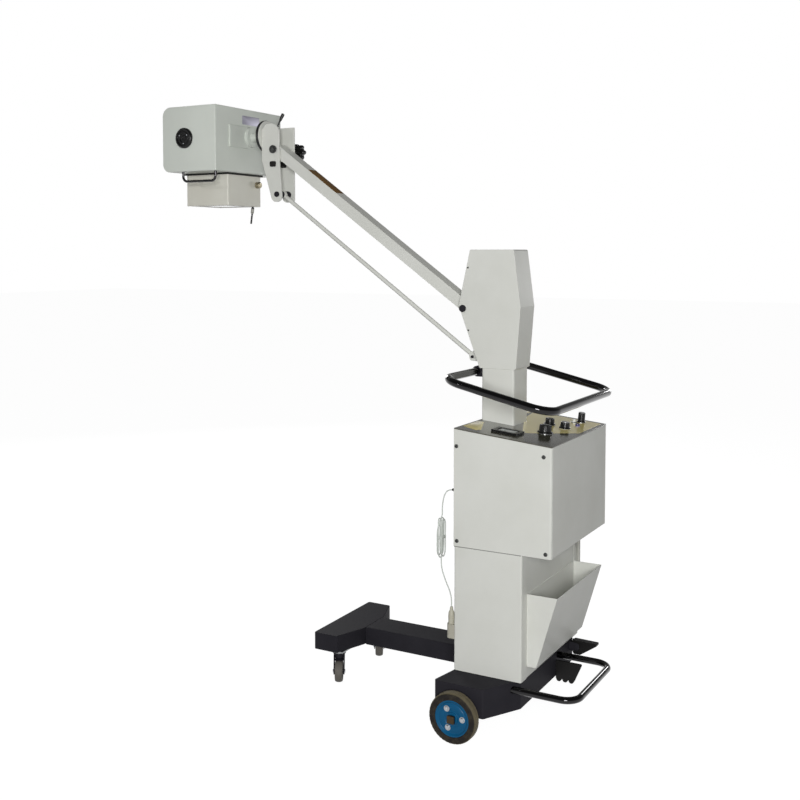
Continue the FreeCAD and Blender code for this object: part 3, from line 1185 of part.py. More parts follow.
spacers = [cut(f"spacer_{name}",
               cylinder(f"spacer_blank_{name}", eye_radius, yoke_half - eye_half - 1, lower_x, y, lower_z, "y"),
               cylinder(f"spacer_bore_{name}", S.link_pin_dia / 2, yoke_half, lower_x, y - 1, lower_z, "y"))
           for name, y in (("near", -yoke_half), ("far", eye_half + 1))]
keep("bracket_pins", group("bracket_pins", join("upper_pin", upper_shaft, upper_head, upper_nut, stud),
                           join("lower_pin", lower_shaft, *lower_heads), *spacers))

# Star knob: lobes round a boss, screwed on the stud to lock the bracket on the arm.
star = new_body("star_knob")
star_pad = pad(star, "XZ", [Round(0, 0, S.star_dia / 2 - S.star_lobe_dia / 3),
                            Round(0, 0, S.knob_stud_dia / 2 + S.running_gap)], -S.star_thick, Size("0", 0))
lobe_pad = pad(star, "XZ", [Round(S.star_dia / 2 - S.star_lobe_dia / 2, 0, S.star_lobe_dia / 2)],
               -S.star_thick, Size("0", 0))
repeat(star, lobe_pad, "Y_Axis", S.star_lobes)
keep("star_knob", place(star, pivot_x, stud_end - 2, pivot_z))

# Roll lock lever: a hub on the bracket block's top with a leaning rod and a grip.
lever_x = pivot_x - S.block_rear - S.lever_hub_dia / 2
lever_hub = cylinder("lever_hub", S.lever_hub_dia / 2, S.lever_hub_height, 0, 0, 0)
lever_rod = cylinder("lever_rod", S.lever_rod_dia / 2, S.lever_length, 0, 0, S.lever_hub_height / 2)
lever_grip = cylinder("lever_grip", S.lever_grip_dia / 2, S.lever_length / 2.5, 0, 0,
                      S.lever_hub_height / 2 + S.lever_length * 0.75)
lever_stick = place(join("lever_stick", lever_rod, lever_grip), 0, 0, 0, (0, 1, 0), S.lever_lean)
keep("lock_lever", place(join("lock_lever", lever_hub, lever_stick), lever_x, S.lever_y, (pivot_z + S.block_high) + GAP))

# X-ray head: a welded sheet casing with a bevelled front, a lid, and a raised pad with the trunnion.
head_rear, head_front = pivot_x - S.head_rear, pivot_x - S.head_front
head_half = S.head_width / 2
lid_low = (pivot_z + S.head_top) - S.lid_thick


def head_outline(inset):
    return [(head_rear - inset, (pivot_z - S.head_low) + inset), (head_rear - inset, lid_low - inset),
            (head_front + inset, lid_low - inset), (head_front + inset, (pivot_z - S.head_low) + S.head_chamfer_low + inset / 2),
            (head_front + S.head_chamfer_low + inset / 2, (pivot_z - S.head_low) + inset)]


head_shell = cut("head_shell",
     prism("head_blank", "XZ", [[
         (head_rear, (pivot_z - S.head_low), 2), (head_rear, lid_low), (head_front + S.head_chamfer_top - S.lid_thick, lid_low),
         (head_front, lid_low - S.head_chamfer_top + S.lid_thick, 2),
         (head_front, (pivot_z - S.head_low) + S.head_chamfer_low, 2), (head_front + S.head_chamfer_low, (pivot_z - S.head_low), 2)]],
         -head_half, head_half),
     prism("head_space", "XZ", [[
         (head_rear - S.head_wall, (pivot_z - S.head_low) + S.head_wall), (head_rear - S.head_wall, lid_low + 1),
         (head_front + S.head_chamfer_top, lid_low + 1),
         (head_front + S.head_wall, lid_low - S.head_chamfer_top),
         (head_front + S.head_wall, (pivot_z - S.head_low) + S.head_chamfer_low + S.head_wall / 2),
         (head_front + S.head_chamfer_low + S.head_wall / 2, (pivot_z - S.head_low) + S.head_wall)]],
         -head_half + S.head_wall, head_half - S.head_wall))
head_lid = prism("head_lid", "XZ", [[
    (head_rear, lid_low), (head_rear, (pivot_z + S.head_top), 2), (head_front + S.head_chamfer_top, (pivot_z + S.head_top), 2),
    (head_front + S.head_chamfer_top - S.lid_thick, lid_low)]], -head_half, head_half)
keep("head_casing", group("head_casing", head_shell, head_lid))
pad_rear = head_rear + S.pad_thick
trunnion_pad = block("trunnion_pad", (head_rear, pad_rear), (-S.pad_width / 2, S.pad_width / 2),
                     ((pivot_z + S.pad_low), (pivot_z + S.pad_high)))
trunnion_shaft = cylinder("trunnion_shaft", S.trunnion_dia / 2, bearing_rear - GAP - head_rear, head_rear, 0, (pivot_z + S.roll_z), "x")
trunnion_collar = cylinder("trunnion_collar", S.collar_dia / 2, S.pad_thick + S.collar_thick, head_rear, 0, (pivot_z + S.roll_z), "x")
keep("trunnion", join("trunnion", trunnion_pad, trunnion_shaft, trunnion_collar))
cap = turned("head_cap", "YZ", "H_Axis", [
    (0, 0), (0, S.cap_dia / 2), (-S.cap_thick + 3, S.cap_dia / 2, 2), (-S.cap_thick, S.cap_dia / 2 - 4),
    (-S.cap_thick + 4, S.cap_dia / 4), (-S.cap_thick + 4, S.cap_dia / 8), (-S.cap_thick, S.cap_dia / 10),
    (-S.cap_thick, 0)])
keep("head_cap", place(cap, pivot_x - S.cap_ahead, -head_half, (pivot_z + S.cap_z)))
grip_points = [millimetres(pivot_x - S.grip_front, S.grip_inset - head_half, (pivot_z - S.head_low)), millimetres(pivot_x - S.grip_front, S.grip_inset - head_half, (pivot_z - S.grip_z)),
               millimetres(pivot_x - S.grip_rear, S.grip_inset - head_half, (pivot_z - S.grip_z)), millimetres(pivot_x - S.grip_rear, S.grip_inset - head_half, (pivot_z - S.head_low))]
keep("head_handle", shaped("head_handle", tube_along(path_wire(grip_points, [value(S.grip_bend)] * 2),
                                                     value(S.grip_dia / 2))))

# Inside the head: the high voltage transformer and the x-ray tube insert across it.
inside_low = (pivot_z - S.head_low) + S.head_wall + GAP
generator = block("hv_transformer", (head_front + S.head_chamfer_top, head_front + S.head_chamfer_top + S.generator_width),
                  (-S.tube_length / 2, S.tube_length / 2), (inside_low, inside_low + S.generator_width))
tube_x = (pivot_x - S.light_rear) - S.tube_dia
tube_mount_z = inside_low + S.tube_dia
insert = cylinder("insert_glass", S.tube_dia / 2, S.tube_length, tube_x, -S.tube_length / 2, tube_mount_z, "y")
feet = [block(f"insert_foot_{name}", (tube_x - 10, tube_x + 10), (y, y + 8), (inside_low, tube_mount_z))
        for name, y in (("near", -S.tube_length / 2), ("far", S.tube_length / 2 - 8))]
keep("tube_and_transformer", group("tube_and_transformer", generator, join("tube_insert", insert, *feet)))

# Collimator: a sheet housing under the head on a dark gasket, with a beam window in its floor.
light_front, light_rear = pivot_x - S.light_front, pivot_x - S.light_rear
light_half = S.light_width / 2
light_top = (pivot_z - S.head_low) - S.gasket_thick
light_middle = (light_front + light_rear) / 2
window_half = S.window_size / 2


def light_plan(inset, radius):
    return [(light_front + inset, -light_half + inset, radius), (light_rear - inset, -light_half + inset, radius),
            (light_rear - inset, light_half - inset, radius), (light_front + inset, light_half - inset, radius)]


keep("head_gasket", block("head_gasket", (light_front - S.gasket_thick, light_rear + S.gasket_thick),
                          (-light_half - S.gasket_thick, light_half + S.gasket_thick), (light_top, (pivot_z - S.head_low))))
collimator = new_body("collimator_box")
pad(collimator, "XY", [light_plan(0, S.light_round)], (pivot_z - S.light_low), light_top)
pocket(collimator, "XY", [light_plan(S.light_wall, S.light_round - S.light_wall)],
       (pivot_z - S.light_low) + S.window_thick + GAP * 2, light_top)
pocket(collimator, "XY", [[(light_middle - window_half, -window_half), (light_middle + window_half, -window_half),
                           (light_middle + window_half, window_half), (light_middle - window_half, window_half)]],
       (pivot_z - S.light_low), light_top)
stem_bore = S.dial_stem / 2 + S.running_gap
dial_hole = cylinder("dial_hole", stem_bore, S.light_wall + 4, light_rear - S.light_wall - 2, S.dial_y, (pivot_z - S.dial_z), "x")
shutter_x = pivot_x - S.shutter_x
lever_hole = block("lever_hole", (shutter_x - 6, shutter_x + 6), (S.shutter_y - 12, S.shutter_y + 12),
                   ((pivot_z - S.light_low) - 1, (pivot_z - S.light_low) + S.window_thick + 2))
shutter_pivot = (pivot_z - S.light_low) + S.window_thick + 8
ear_inner_x = S.shutter_dia / 2 + 2
floor_top = (pivot_z - S.light_low) + S.window_thick + GAP * 2
ear_blocks = [block(f"shutter_ear_{name}", (low, high), (S.shutter_y - 6, S.shutter_y + 6), (floor_top - 1, shutter_pivot + 6))
              for name, low, high in (("front", shutter_x - ear_inner_x - S.shutter_ear, shutter_x - ear_inner_x),
                                      ("rear", shutter_x + ear_inner_x, shutter_x + ear_inner_x + S.shutter_ear))]
pin_half = ear_inner_x + S.shutter_ear
ear_bore = cylinder("shutter_ear_bore", S.shutter_pin_dia / 2 + S.running_gap, pin_half * 2 + 2,
                    shutter_x - pin_half - 1, S.shutter_y, shutter_pivot, "x")
keep("collimator_housing", cut("collimator_housing", join("collimator_eared", collimator, *ear_blocks),
                               dial_hole, lever_hole, ear_bore))
window_gap = GAP
keep("beam_window", block("beam_window", (light_middle - window_half + window_gap, light_middle + window_half - window_gap),
                          (-window_half + window_gap, window_half - window_gap),
                          ((pivot_z - S.light_low) + 1, (pivot_z - S.light_low) + 1 + S.window_thick)))
dial = turned("field_knob", "XZ", "H_Axis", [
    (-S.light_wall - 5, 0), (-S.light_wall - 5, S.dial_stem / 2), (GAP * 2, S.dial_stem / 2), (GAP * 2, S.dial_dia / 2 - 3),
    (3, S.dial_dia / 2, 1), (S.dial_height - 6, S.dial_dia / 2, 1), (S.dial_height, S.dial_dia / 2 - 4, 1),
    (S.dial_height, 0)])
keep("field_knob", place(dial, light_rear, S.dial_y, (pivot_z - S.dial_z)))
shutter_rod = cylinder("shutter_rod", S.shutter_dia / 2, S.shutter_length + S.window_thick + 8, 0, 0,
                       -S.shutter_length - S.window_thick - 8)
shutter_sleeve = cylinder("shutter_sleeve", S.shutter_sleeve / 2, S.shutter_length * 0.28, 0, 0,
                          -S.window_thick - S.shutter_length * 0.45)
shutter_hub = cylinder("shutter_hub", S.shutter_dia - GAP, S.shutter_dia, -S.shutter_dia / 2, 0, 0, "x")
shutter_pin = cylinder("shutter_pin", S.shutter_pin_dia / 2, pin_half * 2, -pin_half, 0, 0, "x")
shutter_stick = place(join("shutter_stick", shutter_rod, shutter_sleeve), 0, 0, 0, (0, 1, 0), S.shutter_lean)
keep("shutter_lever", place(join("shutter_lever", shutter_hub, shutter_pin, shutter_stick),
                            shutter_x, S.shutter_y, shutter_pivot))

# Hand switch: it stands in a cup on the column's front, with its exposure button under its end.
switch_x = AXLE - S.switch_x
cord_y = -S.cord_y
switch_top = S.switch_low + S.switch_length
holder_low = S.switch_low - S.holder_wall - GAP
cup_radius = S.switch_dia / 2 + GAP + S.holder_wall
cup = join("holder_blank",
           cylinder("holder_cup", cup_radius, S.holder_height, switch_x, cord_y, holder_low),
           block("holder_foot", (switch_x, column_front - GAP), (cord_y - cup_radius, cord_y + cup_radius),
                 (holder_low, holder_low + S.holder_height)))
keep("switch_holder", cut("switch_holder", cup,
                          cylinder("holder_bore", S.switch_dia / 2 + GAP, S.holder_height,
                                   switch_x, cord_y, S.switch_low - GAP),
                          cylinder("holder_eye", S.switch_dia / 2 - S.holder_wall, S.holder_height,
                                   switch_x, cord_y, holder_low - 1)))
trigger_well = S.trigger_dia / 2 + S.running_gap
trigger_depth = S.trigger_height * 3
switch_body = turned("hand_switch", "XZ", "V_Axis", [
    (trigger_well, 0), (S.switch_dia / 2, 0, 2), (S.switch_dia / 2, S.switch_length * 0.72, 6),
    (S.switch_dia / 4, S.switch_length, 2), (0, S.switch_length), (0, trigger_depth), (trigger_well, trigger_depth)])
keep("exposure_button", cylinder("exposure_button", S.trigger_dia / 2, S.trigger_height + trigger_depth - S.trigger_travel,
                                 switch_x, cord_y, S.switch_low - S.trigger_height))
keep("hand_switch", place(switch_body, switch_x, cord_y, S.switch_low))

# Hand switch cord: thin and limp. It leaves the box's front face through a grommet, hangs in a
# folded, tied hank, and runs on to the switch's end.
grommet = turned("cord_grommet", "XZ", "H_Axis", [
    (0, S.cord_dia / 2 + 0.3), (0, S.grommet_dia / 2), (-S.grommet_length * 0.3, S.grommet_dia / 2, 1),
    (-S.grommet_length, S.cord_dia / 2 + 1.6), (-S.grommet_length, S.cord_dia / 2 + 0.3)])
keep("cord_grommet", place(grommet, box_front, cord_y, S.grommet_z))
DROP_ROUTE = ((-68.3, -238, 752), (-94, -238, 752), (-109, -237, 736), (-116, -237, 710), (-118, -238, 684), (-118, -238, 664))
TAIL_ROUTE = ((-122, -238, 516), (-121, -239, 494), (-112, -240, 470), (-104, -240, 447), (-91, -238, 424),
              (-85, -238, 400), (-84, -238, 370))


def cord_tube(label, route):
    """The cord along a route of points, each arc as wide as its two runs allow."""
    points = [millimetres(AXLE + x, y, z) for x, y, z in route]
    bends = []
    for before, corner, after in zip(points, points[1:], points[2:]):
        run = min((before - corner).Length, (after - corner).Length)
        turn = (corner - before).getAngle(after - corner)
        bends.append(0.45 * run / math.tan(turn / 2))
    print(label, "bend radii", [round(bend, 1) for bend in bends])
    wire = path_wire(points, bends)
    solid = tube_along(wire, value(S.cord_dia / 2))
    section = math.pi * value(S.cord_dia / 2) ** 2
    print(label, "volume over section times length", round(solid.Volume / (section * wire.Length), 4))
    return keep(label, shaped(label, solid))


cord_tube("cord_drop", DROP_ROUTE)
cord_tube("cord_tail", TAIL_ROUTE)
HANK_SECTIONS = ((664, -118, 9, 9), (640, -119, 15, 11), (600, -122, 19, 12), (560, -124, 22, 13), (530, -124, 18, 11),
                 (516, -122, 8, 8))
rings = []
for z, x, half_y, half_x in HANK_SECTIONS:
    curve = Part.Ellipse(millimetres(AXLE + x, cord_y, z), half_y, half_x)
    curve.Axis = Vector(0, 0, 1)
    edge = curve.toShape()
    edge.rotate(millimetres(AXLE + x, cord_y, z), Vector(0, 0, 1), 90)
    rings.append(Part.Wire([edge]))
keep("cord_hank", shaped("cord_hank", Part.makeLoft(rings, True, False)))

# Build, test and write every sub-part
doc.recompute()
for item in doc.Objects:
    if "Invalid" in item.State or "Error" in item.State:
        raise RuntimeError(f"{item.Label} failed: {item.State}")
for item in sub_parts:
    if item.Shape.isNull() or not item.Shape.isValid() or not item.Shape.Solids:
        raise RuntimeError(f"{item.Label} has no valid solid")
os.makedirs("parts", exist_ok=True)
for item in sub_parts:
    item.Shape.exportStep(f"parts/{item.Label}.step")
print(len(sub_parts), "sub-parts written")
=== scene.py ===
"""A mobile x-ray machine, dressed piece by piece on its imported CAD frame, in metres."""

import json
import math

import bmesh
import bpy
import numpy as np
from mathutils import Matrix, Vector


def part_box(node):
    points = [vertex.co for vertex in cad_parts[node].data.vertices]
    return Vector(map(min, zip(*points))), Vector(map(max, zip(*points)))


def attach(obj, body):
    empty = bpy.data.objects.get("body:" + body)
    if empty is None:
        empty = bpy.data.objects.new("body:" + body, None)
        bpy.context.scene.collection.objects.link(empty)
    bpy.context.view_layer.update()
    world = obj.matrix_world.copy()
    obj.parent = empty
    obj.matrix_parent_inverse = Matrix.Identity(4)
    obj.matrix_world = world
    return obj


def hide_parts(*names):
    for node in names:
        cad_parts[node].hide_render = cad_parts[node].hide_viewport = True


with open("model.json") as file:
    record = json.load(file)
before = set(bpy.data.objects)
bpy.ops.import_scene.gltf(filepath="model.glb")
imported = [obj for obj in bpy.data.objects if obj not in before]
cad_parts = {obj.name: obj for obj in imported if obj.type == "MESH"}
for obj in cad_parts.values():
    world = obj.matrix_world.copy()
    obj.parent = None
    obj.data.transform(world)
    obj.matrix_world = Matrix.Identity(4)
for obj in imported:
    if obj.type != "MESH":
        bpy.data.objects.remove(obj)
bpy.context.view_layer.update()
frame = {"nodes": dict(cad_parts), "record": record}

# The photographer's camera: at eye height and almost level, so uprights stay upright, and looking
# across the machine from its near rear side. The machine stands below the lens, hence the shift.
EYE, LOOK_TURN, LOOK_DOWN = (1.917, -3.315, 1.5165), math.radians(29.13), math.radians(3.0)
lens = bpy.data.cameras.new("lens")
lens.sensor_width, lens.lens, lens.shift_y = 36.0, 48.46, -0.115
camera = bpy.data.objects.new("camera", lens)
bpy.context.scene.collection.objects.link(camera)
camera.location = EYE
camera.rotation_euler = (math.pi / 2 - LOOK_DOWN, 0, LOOK_TURN)
bpy.context.scene.camera = camera
bpy.context.scene.view_settings.view_transform = "Standard"


def colour(code, alpha=1.0):
    """Linear light from an sRGB hex value: each channel through the sRGB curve."""
    channel = np.array([int(code[i:i + 2], 16) for i in (1, 3, 5)]) / 255
    return (*np.where(channel <= 0.04045, channel / 12.92, ((channel + 0.055) / 1.055) ** 2.4), alpha)


def add(tree, kind, settings=None, links=None):
    """One shader node with its settings and its links; a setting is an input's value or an attribute."""
    made = tree.nodes.new("ShaderNode" + kind)
    for key, value in (settings or {}).items():
        if isinstance(key, int) or key in made.inputs:
            made.inputs[key].default_value = value
        else:
            setattr(made, key, value)
    for key, socket in (links or {}).items():
        tree.links.new(socket, made.inputs[key])
    return made


def bare_material(name):
    """A named material with an empty node tree and its output."""
    made = bpy.data.materials.new(name)
    made.use_nodes = True
    made.node_tree.nodes.clear()
    return made, made.node_tree, made.node_tree.nodes.new("ShaderNodeOutputMaterial")


def rays(tree):
    """The kinds of ray, and 1 for a ray that comes from the camera or through glass."""
    kinds = add(tree, "LightPath").outputs
    direct = add(tree, "Math", {"operation": "MAXIMUM"},
                 {0: kinds["Is Camera Ray"], 1: kinds["Is Transmission Ray"]})
    return kinds, direct.outputs[0]


# Studio: a white paper sweep as floor and background. Its white is what the camera and glass see.
# Gloss sees it too, but under a dark ceiling, and the light that it gives off is dimmer overhead.
world = bpy.data.worlds.new("studio")
bpy.context.scene.world = world
world.use_nodes = True
tree = world.node_tree
tree.nodes.clear()
kinds, direct = rays(tree)
sky = add(tree, "SeparateXYZ", links={"Vector": add(tree, "TexCoord").outputs["Generated"]})
room = add(tree, "MapRange", {"To Min": 0.28, "To Max": 0.12}, {"Value": sky.outputs["Z"]})
ceiling = add(tree, "MapRange", {"From Max": 0.3, "To Min": 1.0, "To Max": 0.15}, {"Value": sky.outputs["Z"]})
unseen = add(tree, "MapRange", links={"Value": kinds["Is Glossy Ray"], "To Min": room.outputs[0],
                                      "To Max": ceiling.outputs[0]})
strength = add(tree, "MapRange", {"To Max": 1.0}, {"Value": direct, "To Min": unseen.outputs[0]})
paper = add(tree, "Background", {"Color": (1, 1, 1, 1)}, {"Strength": strength.outputs[0]})
tree.links.new(paper.outputs[0], tree.nodes.new("ShaderNodeOutputWorld").inputs[0])

SWEEP = 30
sweep_mesh = bpy.data.meshes.new("floor")
sweep_mesh.from_pydata([(x * SWEEP, y * SWEEP, 0) for x, y in ((-1, -1), (1, -1), (1, 1), (-1, 1))],
                       [], [(0, 1, 2, 3)])
floor = bpy.data.objects.new("floor", sweep_mesh)
bpy.context.scene.collection.objects.link(floor)
sweep, tree, out = bare_material("white_paper_sweep")
kinds, direct = rays(tree)
mirrored = add(tree, "Math", {"operation": "MAXIMUM"}, {0: direct, 1: kinds["Is Glossy Ray"]})
lit = add(tree, "Math", {"operation": "MULTIPLY", 1: 0.95}, {0: mirrored.outputs[0]})
paper = add(tree, "BsdfPrincipled", {"Base Color": colour("#747474"), "Roughness": 1.0, "Specular IOR Level": 0.0,
                                     "Emission Color": (1, 1, 1, 1)}, {"Emission Strength": lit.outputs[0]})
tree.links.new(paper.outputs[0], out.inputs[0])
sweep_mesh.materials.append(sweep)

# Lamps, each with its spot, aim, size and power: a broad one from the operator's side, one for the
# far side, and two small ones that draw the white streaks and points on chrome and knobs.
for name, spot, aim, size, power in (
        ("key", (2.5, -4.4, 1.8), (0.0, 0, 1.15), 1.3, 160),
        ("back", (-3.4, 3.4, 2.6), (0.1, 0, 1.0), 1.6, 60),
        ("streak", (0.85, 2.6, 1.55), (0.8, -0.1, 0.15), 0.5, 10),
        ("spark", (-1.3, -4.0, 2.7), (0.5, 0, 0.8), 0.25, 11)):
    lamp = bpy.data.lights.new(name, "AREA")
    lamp.size, lamp.energy = size, power
    stand_in = bpy.data.objects.new(name, lamp)
    bpy.context.scene.collection.objects.link(stand_in)
    stand_in.location = spot
    stand_in.rotation_euler = (Vector(aim) - Vector(spot)).to_track_quat("-Z", "Y").to_euler()

# Base: a rear cross-member, a spine and a front crossbeam, welded from bent steel plate and stove
# enamelled near-black. The same enamel covers the pivot pins, the handle's clamp and the caster forks.
MM = 0.001
AXLE = 477.2 * MM
turn = 2 * math.pi


def behind_axle(x, y, z):
    """A point behind the rear axle, off the middle and above the floor, in millimetres."""
    return np.array([AXLE + x * MM, y * MM, z * MM])


def enamel(name, tone, worn, roughness, coat, peel=0.06, index=1.5):
    """Stove enamel on steel sheet. A 7 mm peel (a real one is about 2 mm and would not show), and
    a slow change of tone over hand-sized patches, where it is handled and wiped."""
    made, tree, out = bare_material(name)
    place = add(tree, "TexCoord").outputs["Object"]
    patch = add(tree, "TexNoise", {"Scale": 5.0, "Detail": 4.0, "Roughness": 0.6}, {"Vector": place})
    spread = add(tree, "MapRange", {"From Min": 0.35, "From Max": 0.7}, {"Value": patch.outputs["Fac"]})
    tint = add(tree, "Mix", {"data_type": "RGBA"})
    tree.links.new(spread.outputs[0], tint.inputs["Factor"])
    tint.inputs[6].default_value, tint.inputs[7].default_value = colour(tone), colour(worn)
    skin = add(tree, "TexNoise", {"Scale": 140.0, "Detail": 1.0}, {"Vector": place})
    bump = add(tree, "Bump", {"Strength": peel, "Distance": 0.0006}, {"Height": skin.outputs["Fac"]})
    gloss = add(tree, "MapRange", {"To Min": roughness - 0.05, "To Max": roughness + 0.08},
                {"Value": patch.outputs["Fac"]})
    shader = add(tree, "BsdfPrincipled", {"IOR": index, "Coat Weight": coat, "Coat Roughness": 0.12},
                 {"Base Color": tint.outputs[2], "Roughness": gloss.outputs[0], "Normal": bump.outputs[0]})
    tree.links.new(shader.outputs[0], out.inputs[0])
    return made


def settle(obj, finish, body, nodes):
    """Give a piece its material, the body that it rides on and the CAD nodes it stands for."""
    obj.data.materials.clear()
    obj.data.materials.append(finish)
    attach(obj, body)
    if nodes:
        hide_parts(*nodes)
    return obj


body_of = {node: body for body, nodes in frame["record"]["behaviour"]["bodies"].items() for node in nodes}


def pressed(node, finish, rounding=0.8, angle=32):
    """The CAD piece with its sharp edges rolled over: its triangles are merged, its flats joined, and
    each edge sharper than the angle gets a rounding of that many millimetres."""
    mesh = frame["nodes"][node].data.copy()
    mesh.name = node + "_skin"
    work = bmesh.new()
    work.from_mesh(mesh)
    bmesh.ops.remove_doubles(work, verts=work.verts, dist=2e-5)
    bmesh.ops.dissolve_limit(work, angle_limit=math.radians(0.8), verts=work.verts, edges=work.edges)
    work.to_mesh(mesh)
    work.free()
    if "custom_normal" in mesh.attributes:
        mesh.attributes.remove(mesh.attributes["custom_normal"])
    mesh.shade_smooth()
    obj = bpy.data.objects.new(node + "_skin", mesh)
    bpy.context.scene.collection.objects.link(obj)
    if rounding:
        roll = obj.modifiers.new("rolled_edges", "BEVEL")
        roll.width, roll.segments, roll.limit_method = rounding * MM, 2, "ANGLE"
        roll.angle_limit, roll.use_clamp_overlap, roll.harden_normals = math.radians(angle), False, True
    else:
        mesh.set_sharp_from_angle(angle=math.radians(angle))
    return settle(obj, finish, body_of[node], [node])


black_enamel = enamel("satin_black_stove_enamel", "#27262B", "#302F34", 0.55, 0.0, 0.10, 1.13)
for node, rounding in (("rear_crossmember", 1.5), ("spine_beam", 2.0), ("front_crossbeam", 2.0),
                       ("arm_pivots", 0.8), ("bracket_pins", 0.6),
                       ("handle_clamp", 1.0), ("caster_fork_near", 0.5), ("caster_fork_far", 0.5)):
    pressed(node, black_enamel, rounding)

# Rear wheels: a solid rubber tyre on a pressed and enamelled blue disc, held by three bright bolts,
# and a browned square nut on the axle.
WHEEL_Y, WHEEL_Z = 390 * MM, 80 * MM
BOLTS, BOLT_CIRCLE, DISC_FACE = 3, 34 * MM, 11.2 * MM
TYRE_STEPS, SIPES = 160, 40


def rounded(corners, closed=False, steps=6):
    """A line of straight runs with an arc in each corner: a corner is a point and, last, its radius.
    The arc's centre lies on the bisector, at radius over the sine of half the angle."""
    corners = np.asarray(corners, float)
    points, radii, line = corners[:, :-1], corners[:, -1], []
    for i, (point, radius) in enumerate(zip(points, radii)):
        if radius <= 0 or (not closed and i in (0, len(points) - 1)):
            line.append(point[None])
            continue
        back, ahead = points[i - 1] - point, points[(i + 1) % len(points)] - point
        back, ahead = back / np.linalg.norm(back), ahead / np.linalg.norm(ahead)
        half = 0.5 * math.acos(np.clip(back @ ahead, -1, 1))
        centre = point + (back + ahead) / np.linalg.norm(back + ahead) * radius / math.sin(half)
        arm = point + back * radius / math.tan(half) - centre
        sweep_angle = np.linspace(0, math.pi - 2 * half, steps + 1)[:, None]
        line.append(centre + arm * np.cos(sweep_angle) - back * radius * np.sin(sweep_angle))
    return np.vstack(line)


def two_sided(side, steps):
    """A closed profile in metres from the corners of its upper side, mirrored below, in millimetres."""
    return rounded(side + [(r, -z, c) for r, z, c in side[::-1]], closed=True, steps=steps) * MM


def turned(profile, steps=96):
    """A surface of revolution: each (radius, height) of the profile goes round the local z axis."""
    angle = np.arange(steps) * turn / steps
    radius, height = np.asarray(profile, float)[:, 0, None], np.asarray(profile, float)[:, 1, None]
    return np.stack([radius * np.cos(angle), radius * np.sin(angle), height + 0 * angle], -1)


def puck(radius, height, edge, steps=40):
    """A low round boss, its top edge rounded, in millimetres."""
    return turned(rounded([(0, 0, 0), (radius, 0, 0), (radius, height, edge), (0, height, 0)]) * MM, steps)


def stood(points, origin, axis, across=(1, 0, 0)):
    """Local points, their z along the axis and their x across it, moved to the origin."""
    axis, across = np.asarray(axis, float), np.asarray(across, float)
    return np.asarray(origin, float) + points @ np.stack([across, np.cross(axis, across), axis])


def shell(points, loop=False, ring=True, caps=False):
    """A grid of points, rows by columns, with whether the rows and the columns close, and end caps."""
    return points, loop, ring, caps


def made_of(name, shells, finish, body, nodes=(), angle=34):
    """One mesh from several grids: each four neighbours make a face, poles are merged, and the faces
    are turned outwards."""
    points, faces, first = [], [], 0
    for grid, loop, ring, caps in shells:
        rows, columns = grid.shape[:2]
        index = first + np.arange(rows * columns).reshape(rows, columns)
        wide = np.hstack([index, index[:, :1]]) if ring else index
        wide = np.vstack([wide, wide[:1]]) if loop else wide
        corners = [wide[:-1, :-1], wide[:-1, 1:], wide[1:, 1:], wide[1:, :-1]]
        faces += np.stack(corners, -1).reshape(-1, 4).tolist()
        if caps:
            faces += [index[0][::-1].tolist(), index[-1].tolist()]
        points.append(grid.reshape(-1, 3))
        first += rows * columns
    mesh = bpy.data.meshes.new(name)
    mesh.from_pydata(np.vstack(points).tolist(), [], faces)
    work = bmesh.new()
    work.from_mesh(mesh)
    bmesh.ops.remove_doubles(work, verts=work.verts, dist=1e-6)
    bmesh.ops.recalc_face_normals(work, faces=work.faces)
    work.to_mesh(mesh)
    work.free()
    mesh.shade_smooth()
    mesh.set_sharp_from_angle(angle=math.radians(angle))
    obj = bpy.data.objects.new(name, mesh)
    bpy.context.scene.collection.objects.link(obj)
    return settle(obj, finish, body, list(nodes))


def plate(outline, low, high, edge=0.4 * MM, steps=4):
    """A flat piece from a closed outline, counter-clockwise: rings of the outline drawn in by the
    edge's radius times one minus the sine, so its rims are quarter rounds."""
    outline = np.asarray(outline, float)
    ahead = np.roll(outline, -1, 0) - np.roll(outline, 1, 0)
    inward = np.stack([-ahead[:, 1], ahead[:, 0]], -1) / np.linalg.norm(ahead, axis=1, keepdims=True)
    angle = np.linspace(0, math.pi / 2, steps + 1)
    inset, rise = edge * (1 - np.sin(angle)), edge * (1 - np.cos(angle))
    inset, height = np.concatenate([inset, inset[::-1]]), np.concatenate([low + rise, (high - rise)[::-1]])
    rings = outline[None] + inward[None] * inset[:, None, None]
    return np.concatenate([rings, np.broadcast_to(height[:, None, None], rings.shape[:2] + (1,))], -1)


def oblong(length, width, corner, x=0.0, y=0.0):
    """A rectangle's outline with round corners, about its middle."""
    return rounded([(x + a * length / 2, y + b * width / 2, corner)
                    for a, b in ((-1, -1), (1, -1), (1, 1), (-1, 1))], closed=True)


def marked(obj, name, values):
    """A number at each point of the mesh, for its material to read."""
    obj.data.attributes.new(name, "FLOAT", "POINT").data.foreach_set("value", np.asarray(values, np.float32))


def places(obj):
    """The mesh's points as an array."""
    flat = np.empty(len(obj.data.vertices) * 3)
    obj.data.vertices.foreach_get("co", flat)
    return flat.reshape(-1, 3)


